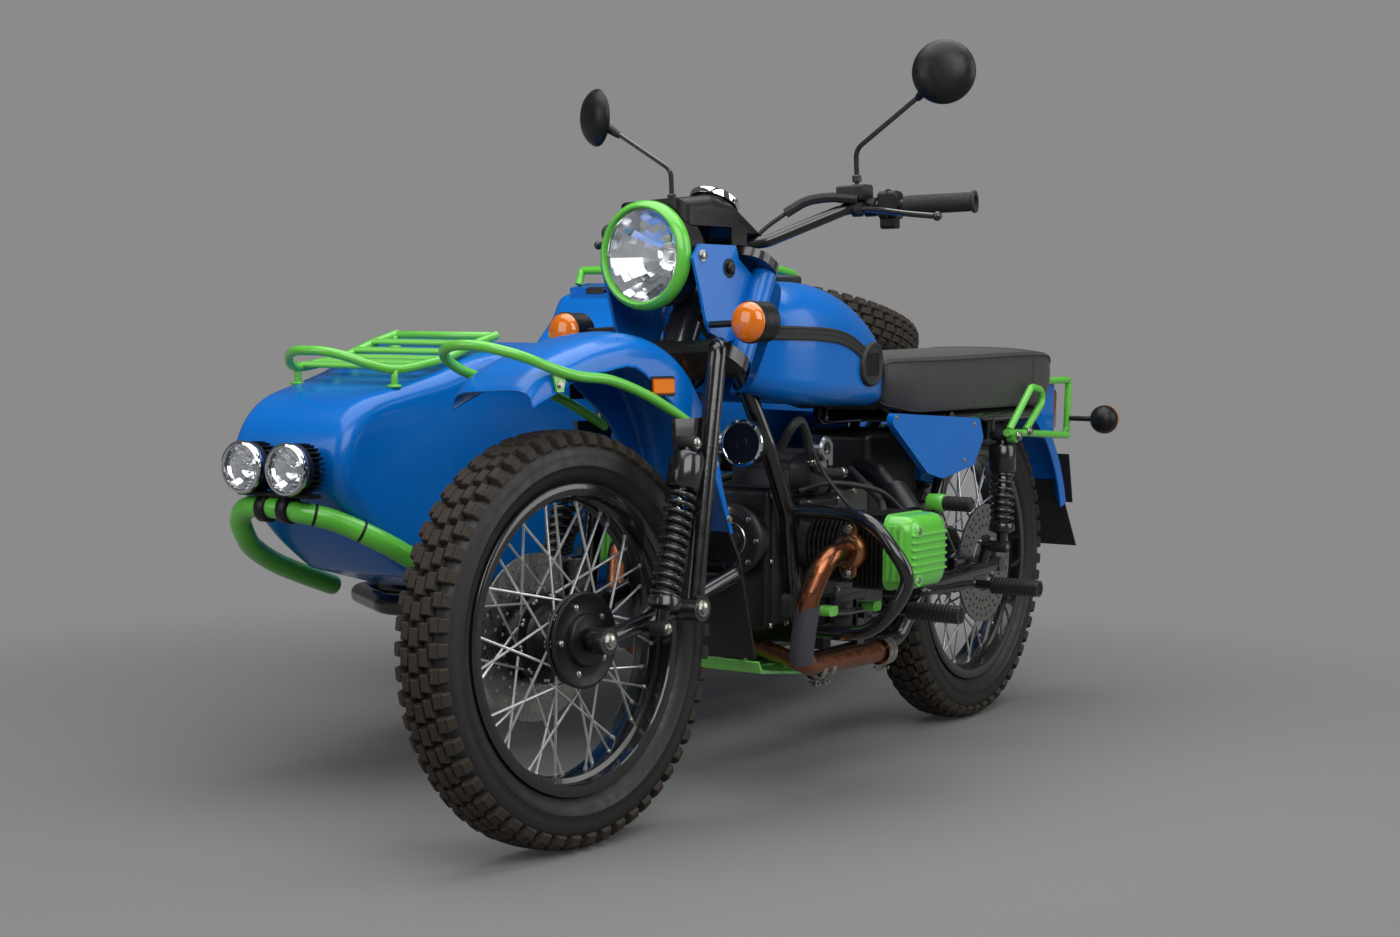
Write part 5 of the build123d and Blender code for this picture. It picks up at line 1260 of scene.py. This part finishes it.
FOOT_RUBBER = 15.5
rider = ribbed_rubber(690, 325, 222, 332, FOOT_RUBBER, [(14, 226), (17.6, 226.6), (17.6, 230.4), (14, 231)],
                      13, 8)
pillion = ribbed_rubber(255, 330, 196, 302, FOOT_RUBBER, [(14, 200), (17.6, 200.6), (17.6, 204.4), (14, 205)],
                        12, 8)
on_bike(pair(joined("footrest_rubbers", rider + pillion)))
eye_ring = lathe("kick_eye", [(9.5, 158), (17.4, 158), (18, 160), (18, 190), (17, 192), (9.5, 192)], GREEN,
                 40)
on_bike(moved(eye_ring, (480, 0, 515)))
pedal = ribbed_rubber(480, 515, 190, 252, 13.4, [(12, 196), (15, 196.5), (15, 199.5), (12, 200)], 8, 7, 28)
on_bike(joined("kick_pedal_rubber", pedal))
lever = [(640, 112, 300), (700, 150, 310), (800, 190, 338), (900, 196, 342), (985, 200, 350)]
on_bike(tube("gear_lever", lever, 6, BLACK, bend=20))
pads = [moved(round_box("pad", [(-12, -17, 17, -9, 9, 8), (12, -17, 17, -9, 9, 8)], GREEN), spot)
        for spot in ((977, 204, 354), (812, 206, 346))]
on_bike(joined("gear_lever_pads", pads))
plate_spots = [((1028, s * 60, 262), (0.4, 0, -1)) for s in SIDES]
plate_spots += [((650, s * 70, 216), (0, 0, -1)) for s in SIDES]
screws("skid_screws", plate_spots, on_bike, r=6, height=4)
lamp = round_box("tail_lamp_dressed", [(-42, -425, -392.4, 628, 716, 8), (-40, -427, -392.4, 626, 718, 8),
                                       (40, -427, -392.4, 626, 718, 8), (42, -425, -392.4, 628, 716, 8)], RED)
on_bike(lamp, "tail_lamp")
on_bike(plate("blank_plate", [(-430.4, 560), (-433.4, 560), (-459, 456), (-456, 456)], -70, 70, WHITE, 0.5))
screws("grab_screws", both_sides(172, (82, 632)) + both_sides(168, (16, 640)), on_bike, r=8, height=6)
screws("side_cover_screws", both_sides(164, (640, 690), (286, 664), (330, 592)), on_bike, r=4.5, height=2)


# ---------------------------------------------------------------- camera
PICTURE_WIDTH = 1400
FOCAL_LENGTH = 2209.25              # in pixels of the picture
SENSOR_WIDTH = 36.0
CAMERA_SPOT = (3.8842, 2.4856, 0.8737)
yaw, pitch, roll = math.radians(212.098), math.radians(-3.861), math.radians(0.6145)
ahead = Vector((math.cos(pitch) * math.cos(yaw), math.cos(pitch) * math.sin(yaw), math.sin(pitch)))
right = Vector((math.sin(yaw), -math.cos(yaw), 0))
up = right.cross(ahead)
right, up = right * math.cos(roll) + up * math.sin(roll), up * math.cos(roll) - right * math.sin(roll)
eye = bpy.data.cameras.new("camera")
eye.sensor_fit = "HORIZONTAL"
eye.sensor_width = SENSOR_WIDTH
eye.lens = FOCAL_LENGTH / PICTURE_WIDTH * SENSOR_WIDTH
eye.clip_end = 200.0
camera = bpy.data.objects.new("camera", eye)
camera.matrix_world = Matrix([(r, u, -a, c) for r, u, a, c in zip(right, up, ahead, CAMERA_SPOT)]
                             + [(0, 0, 0, 1)])
bpy.context.scene.collection.objects.link(camera)
bpy.context.scene.camera = camera


# ---------------------------------------------------------------- sidecar body
EDGE = 34.0             # radius of the body's edges
WALL = 12.0
NOSE = [(1240, 386), (1330, 444), (1395, 505), (1436, 552), (1451, 600), (1445, 648), (1416, 692),
        (1368, 724), (1290, 744), (1180, 768)]
BODY = [(-560, 322), (960, 322)] + [(p.x, p.z) for p in flowing([(x, 0, z) for x, z in NOSE], 4)]
BODY += [(1083, 800), (930, 822), (868, 826), (700, 720), (430, 720), (250, 880), (224, 932), (-20, 932),
         (-180, 905), (-186, 827.6), (-640, 705.9), (-668, 560)]


def body_half(x):
    """Half width of the sidecar body, smoothed over 160 mm."""
    def sharp(at):
        if at < -300:
            return 285 + (at + 300) / 10
        return 285 - 145 * min(1, max(0, (at - 640) / 650))
    return sum(sharp(x + step) for step in range(-80, 81, 20)) / 9


def body_ring(inset):
    """Lower and upper edges of the body's side, set in from its skin, each in order of X."""
    pts = [Vector((x, 0, z)) for x, z in BODY]
    moved_in = []
    for a, b, c in zip(pts[-1:] + pts[:-1], pts, pts[1:] + pts[:1]):
        n1, n2 = [Vector((-run.z, 0, run.x)).normalized() for run in (b - a, c - b)]
        moved_in.append(b + (n1 + n2) * (inset / (1 + n1.dot(n2))))
    ring = rounded(moved_in[-1:] + moved_in + moved_in[:1], EDGE)[1:-1]
    low = min(range(len(ring)), key=lambda i: ring[i].x)
    ring = ring[low:] + ring[:low]
    high = max(range(len(ring)), key=lambda i: ring[i].x)
    return ring[:high + 1], [ring[0]] + list(reversed(ring[high:]))


def height_on(edge, x):
    """Height of an edge at X."""
    for a, b in zip(edge, edge[1:]):
        if a.x <= x <= b.x and b.x > a.x:
            return a.z + (b.z - a.z) * (x - a.x) / (b.x - a.x)
    return edge[0].z if x < edge[0].x else edge[-1].z


def body_rows(inset, x0=None, x1=None):
    """Cross-sections of the body, round along its edges; whole without X limits."""
    turns = [math.pi / 16 * k for k in range(9)]
    rings = [(EDGE * (1 - math.cos(a)), body_ring(inset + EDGE * (1 - math.sin(a)))) for a in turns]
    middle = [-600 + 20 * k for k in range(96)] + [-190, -186, -183, -176, 224, 237, 250]
    if x0 is None:
        places = [("tail", k / 6) for k in range(6)] + [("", x) for x in sorted(middle)]
        places += [("nose", math.sin(math.pi / 40 * k)) for k in range(1, 21)]
    else:
        places = [("", x) for x in [x0] + [x for x in sorted(middle) if x0 < x < x1] + [x1]]
    rows = []
    for part, value in places:
        upper, lower = [], []
        for drop, (low, high) in rings:
            x = value
            if part == "tail":
                x = low[0].x + value * (-600 - low[0].x)
            elif part == "nose":
                x = 1300 + value * (low[-1].x - 1300)
            y = body_half(x) - inset - drop
            upper.append(Vector((x, y, height_on(high, x))))
            lower.append(Vector((x, y, height_on(low, x))))
        wall = [upper[0].lerp(lower[0], k / 6) for k in range(1, 6)]
        half = upper[::-1] + wall + lower
        rows.append(half + [Vector((p.x, -p.y, p.z)) for p in reversed(half)])
    return rows


def on_body(x, y):
    """Height of the body's upper skin."""
    out = max(0.0, EDGE - (body_half(x) - abs(y)))
    return height_on(body_ring(EDGE - math.sqrt(max(0.0, EDGE ** 2 - out ** 2)))[1], x)


def cut(piece, *cutters):
    """Takes the cutters' space out of a piece."""
    for cutter in cutters:
        knife = piece.modifiers.new("cut", "BOOLEAN")
        knife.object = cutter
        knife.solver = "EXACT"
    bpy.context.view_layer.update()
    made = bpy.data.meshes.new_from_object(piece.evaluated_get(bpy.context.evaluated_depsgraph_get()))
    material = piece.data.materials[0]
    piece.modifiers.clear()
    for cutter in cutters:
        bpy.data.objects.remove(cutter)
    made.materials.clear()
    made.materials.append(material)
    made.polygons.foreach_set("material_index", [0] * len(made.polygons))
    piece.data = made
    return piece


def hatch(name, outline, z0, z1, bend):
    """Upright prism with a round-cornered outline in X and Y."""
    pts = [Vector((x, y, 0)) for x, y in outline]
    mid = (pts[0] + pts[-1]) / 2
    line = rounded([mid] + pts + [mid], bend)[:-1]
    return skin(name, [[p + Vector((0, 0, z)) for p in line] for z in (z0, z1)], BLUE), line


tub = skin("sidecar_tub_dressed", body_rows(0.0), BLUE)
front = skin("front_hollow", body_rows(WALL, 252, 1330), BLUE)
rear = skin("rear_hollow", body_rows(WALL, -30, 236), BLUE)
pit = rod("pit", (0, 0, -66), (0, 0, 300), 356, BLUE, 128)
laid(pit, shifted_by(*SPARE_SPOT) @ turned_by(SPARE_TILT, "Y"))
mouth, rim = hatch("mouth", [(846, 221), (400, 243), (312, 243), (312, -243), (400, -243), (846, -221)], 560,
                   1000, 70)
trunk, _ = hatch("trunk", [(190, 226), (14, 226), (14, -226), (190, -226)], 880, 1000, 24)
tub = cut(tub, pit, front, rear, mouth, trunk)
on_sidecar(tidied(tub), "sidecar_tub", angle=40)
lip_line = [a.lerp(b, k / 8) for a, b in zip(rim, rim[1:] + rim[:1]) for k in range(8)]
lip_line = [Vector((p.x, p.y, on_body(p.x, p.y) + 0.5)) for p in lip_line]
on_sidecar(tube("cockpit_edging", lip_line, 6.5, RUBBER, bend=0, sides=12, closed=True), angle=60)

# Nose rack: one bent tube with a crossbar and five flat slats, on four feet.
arm = [(985, 125, 838), (1060, 125, 819), (1128, 125, 798), (1210, 124, 783), (1280, 118, 775),
       (1325, 100, 783), (1360, 70, 799), (1380, 35, 808)]
rack = [hose("hoop", arm + [(1384, 0, 809)] + [(x, -y, z) for x, y, z in reversed(arm)], 9, GREEN, per=4,
             sides=16)]
rack.append(rod("bar", (990, -125, 836.6), (990, 125, 836.6), 8, GREEN, 20))
for x, z in ((1060, 819), (1112, 803), (1164, 790), (1216, 782.5), (1268, 776.5)):
    slat = round_box("slat", [(y, -12, 12, -4.5, 4.5, 4) for y in (-123, 123)], GREEN, 4)
    rack.append(laid(slat, shifted_by(x, 0, z + 4) @ turned_by(12, "Y")))
for x, y, z in ((1284, 119, 776), (1284, -119, 776), (1000, 119, 834), (1000, -119, 834)):
    rack.append(rod("foot", (x, y, on_body(x, y) - 4), (x, y, z), 7, GREEN, 20))
    rack.append(rod("pad", (x, y, on_body(x, y) - 3), (x, y, on_body(x, y) + 3), 14, GREEN, 24))
on_sidecar(joined("nose_rack_dressed", rack), "nose_rack", angle=50)

# Nose bumper: one bent tube of 40 mm, clamped to the chassis.
hoop = flowing([(1062, -455, 300), (1110, -440, 325), (1200, -455, 372), (1290, -488, 424), (1360, -508, 463),
                (1420, -556, 500), (1458, -585, 515), (1480, -612, 522), (1484, -640, 526), (1484, -700, 526),
                (1478, -735, 520), (1462, -762, 498), (1440, -775, 472), (1390, -800, 438), (1300, -828, 400),
                (1200, -844, 366), (1100, -860, 335)], 4)
on_bike(tube("bumper_dressed", hoop, 20, GREEN, 0, 24), "bumper", angle=50)
clamps = []
for spot in (18, 24):
    way = (hoop[spot + 1] - hoop[spot]).normalized() * 3
    clamps.append(rod("band", hoop[spot] - way, hoop[spot] + way, 20.9, NYLON, 40))
for y in (-624, -676):
    clamps.append(rod("clamp", (1483.5, y - 11, 525.5), (1483.5, y + 11, 525.5), 26, NYLON, 40))
    clamps.append(block("neck", 1470, 1497, y - 11, y + 11, 545, 549, NYLON, 1))
on_bike(joined("bumper_clamps", clamps), angle=50)

# Cockpit cushions: five sewn channels across, with a round, stuffed edge.
ENDS = [(-215, 14), (-213, 8), (-208, 3), (-200, 0)]
SPANS = ENDS + [(y, 0) for y in range(-192, 193, 8)] + [(-y, inset) for y, inset in reversed(ENDS)]


def swell(y):
    """Rise of the stuffing over a channel."""
    return 11 * abs(math.sin(math.pi * (y + 215) / 86)) ** 0.6


base = round_box("base", [(y, 332 + i, 718 - i, 338, 430 + swell(y) - i, 20) for y, i in SPANS], VINYL, 6)
back = round_box("back", [(y, 254, 314 + swell(y) - i, 338, 638 - i, 20) for y, i in SPANS], VINYL, 6)
cushions = on_sidecar(joined("cockpit_cushions", [base, back]), "cockpit_seat", angle=60)
grip = tube("trunk_handle", [(-16, -52, 948), (-22, -52, 960), (-22, 52, 960), (-16, 52, 948)], 4.5, CHROME,
            8)
settle(grip, SIDECAR, "trunk_lid")

# Trunk hinge: a seat along the front edge of the trunk's mouth, and two barrels with leaves under the lid.
on_sidecar(block("hinge_rail", 198, 227, -240, 240, 900, 931.8, BLUE, 3))
barrels = []
leaves = []
for side in (-1, 1):
    near, far = sorted((side * 145, side * 195))
    barrels.append(rod("barrel", (220, near, 938.3), (220, far, 938.3), 6, BLACK, 28))
    barrels.append(block("knuckle", 214, 226, near, far, 930, 938, BLACK, 1))
    leaves.append(block("leaf", 203, 216, near, far, 944.1, 946.3, BLACK, 0.6))
on_sidecar(joined("hinge_barrels", barrels))
settle(joined("hinge_leaves", leaves), SIDECAR, "trunk_lid")


# ---------------------------------------------------------------- floor and light
PAPER = "#8B8B8B"
FLOOR_REACH = 60.0


def backdrop():
    """Studio paper: an even grey of its own, darkened a little where the object shades it."""
    made = bpy.data.materials.new("studio_paper")
    made.use_nodes = True
    tree = made.node_tree
    tree.nodes.clear()
    matt = add(tree, "ShaderNodeBsdfDiffuse", Color=linear("#828282"))
    glow = add(tree, "ShaderNodeEmission", Color=linear(PAPER), Strength=1.0)
    where = add(tree, "ShaderNodeTexCoord").outputs["Object"]
    away = add(tree, "ShaderNodeVectorMath", {"operation": "LENGTH"}, n0=where)
    near = add(tree, "ShaderNodeMapRange", {"interpolation_type": "SMOOTHSTEP"}, n0=away.outputs["Value"],
               n1=0.9, n2=2.5, n3=0.95, n4=0.0)
    even = add(tree, "ShaderNodeMixShader", Fac=near.outputs[0])
    tree.links.new(glow.outputs[0], even.inputs[1])
    tree.links.new(matt.outputs[0], even.inputs[2])
    path = add(tree, "ShaderNodeLightPath")
    seen = add(tree, "ShaderNodeMath", {"operation": "MAXIMUM"}, n0=path.outputs["Is Camera Ray"],
               n1=path.outputs["Is Glossy Ray"])
    seen = add(tree, "ShaderNodeMath", {"operation": "MAXIMUM"}, n0=seen.outputs[0],
               n1=path.outputs["Is Transmission Ray"])
    whole = add(tree, "ShaderNodeMixShader", Fac=seen.outputs[0])
    tree.links.new(matt.outputs[0], whole.inputs[1])
    tree.links.new(even.outputs[0], whole.inputs[2])
    add(tree, "ShaderNodeOutputMaterial", Surface=whole.outputs[0])
    return made


corners = [(-FLOOR_REACH, -FLOOR_REACH, 0), (FLOOR_REACH, -FLOOR_REACH, 0), (FLOOR_REACH, FLOOR_REACH, 0),
           (-FLOOR_REACH, FLOOR_REACH, 0)]
floor = piece_of("floor", corners, [(0, 1, 2, 3)], backdrop())

world = bpy.data.worlds.new("studio")
world.use_nodes = True
bpy.context.scene.world = world
tree = world.node_tree
tree.nodes.clear()
path = add(tree, "ShaderNodeLightPath")
seen = add(tree, "ShaderNodeMath", {"operation": "MAXIMUM"}, n0=path.outputs["Is Camera Ray"],
           n1=path.outputs["Is Transmission Ray"])
room = add(tree, "ShaderNodeBackground", Color=linear(PAPER), Strength=0.38)
shown = add(tree, "ShaderNodeBackground", Color=linear(PAPER), Strength=1.0)
both = add(tree, "ShaderNodeMixShader", Fac=seen.outputs[0])
tree.links.new(room.outputs[0], both.inputs[1])
tree.links.new(shown.outputs[0], both.inputs[2])
add(tree, "ShaderNodeOutputWorld", Surface=both.outputs[0])

#         name, place, target, width, height, watts
LAMPS = [("overhead", (0.3, 0.2, 3.4), (0.2, 0.0, 0.5), 4.4, 3.2, 118),
         ("key", (2.4, 2.6, 2.6), (0.2, 0.1, 0.6), 2.6, 2.2, 70),
         ("left", (-1.4, 3.6, 1.9), (-0.2, 0.2, 0.6), 2.4, 2.4, 42),
         ("front", (4.2, -1.6, 2.0), (0.3, -0.2, 0.5), 2.6, 2.4, 40)]
for name, place, target, width, height, watts in LAMPS:
    lamp = bpy.data.lights.new(name, "AREA")
    lamp.shape = "RECTANGLE"
    lamp.size = width
    lamp.size_y = height
    lamp.energy = watts
    holder = bpy.data.objects.new(name, lamp)
    facing = (Vector(place) - Vector(target)).to_track_quat("Z", "Y")
    holder.matrix_world = Matrix.Translation(place) @ facing.to_matrix().to_4x4()
    bpy.context.scene.collection.objects.link(holder)

bpy.context.scene.view_settings.view_transform = "Standard"
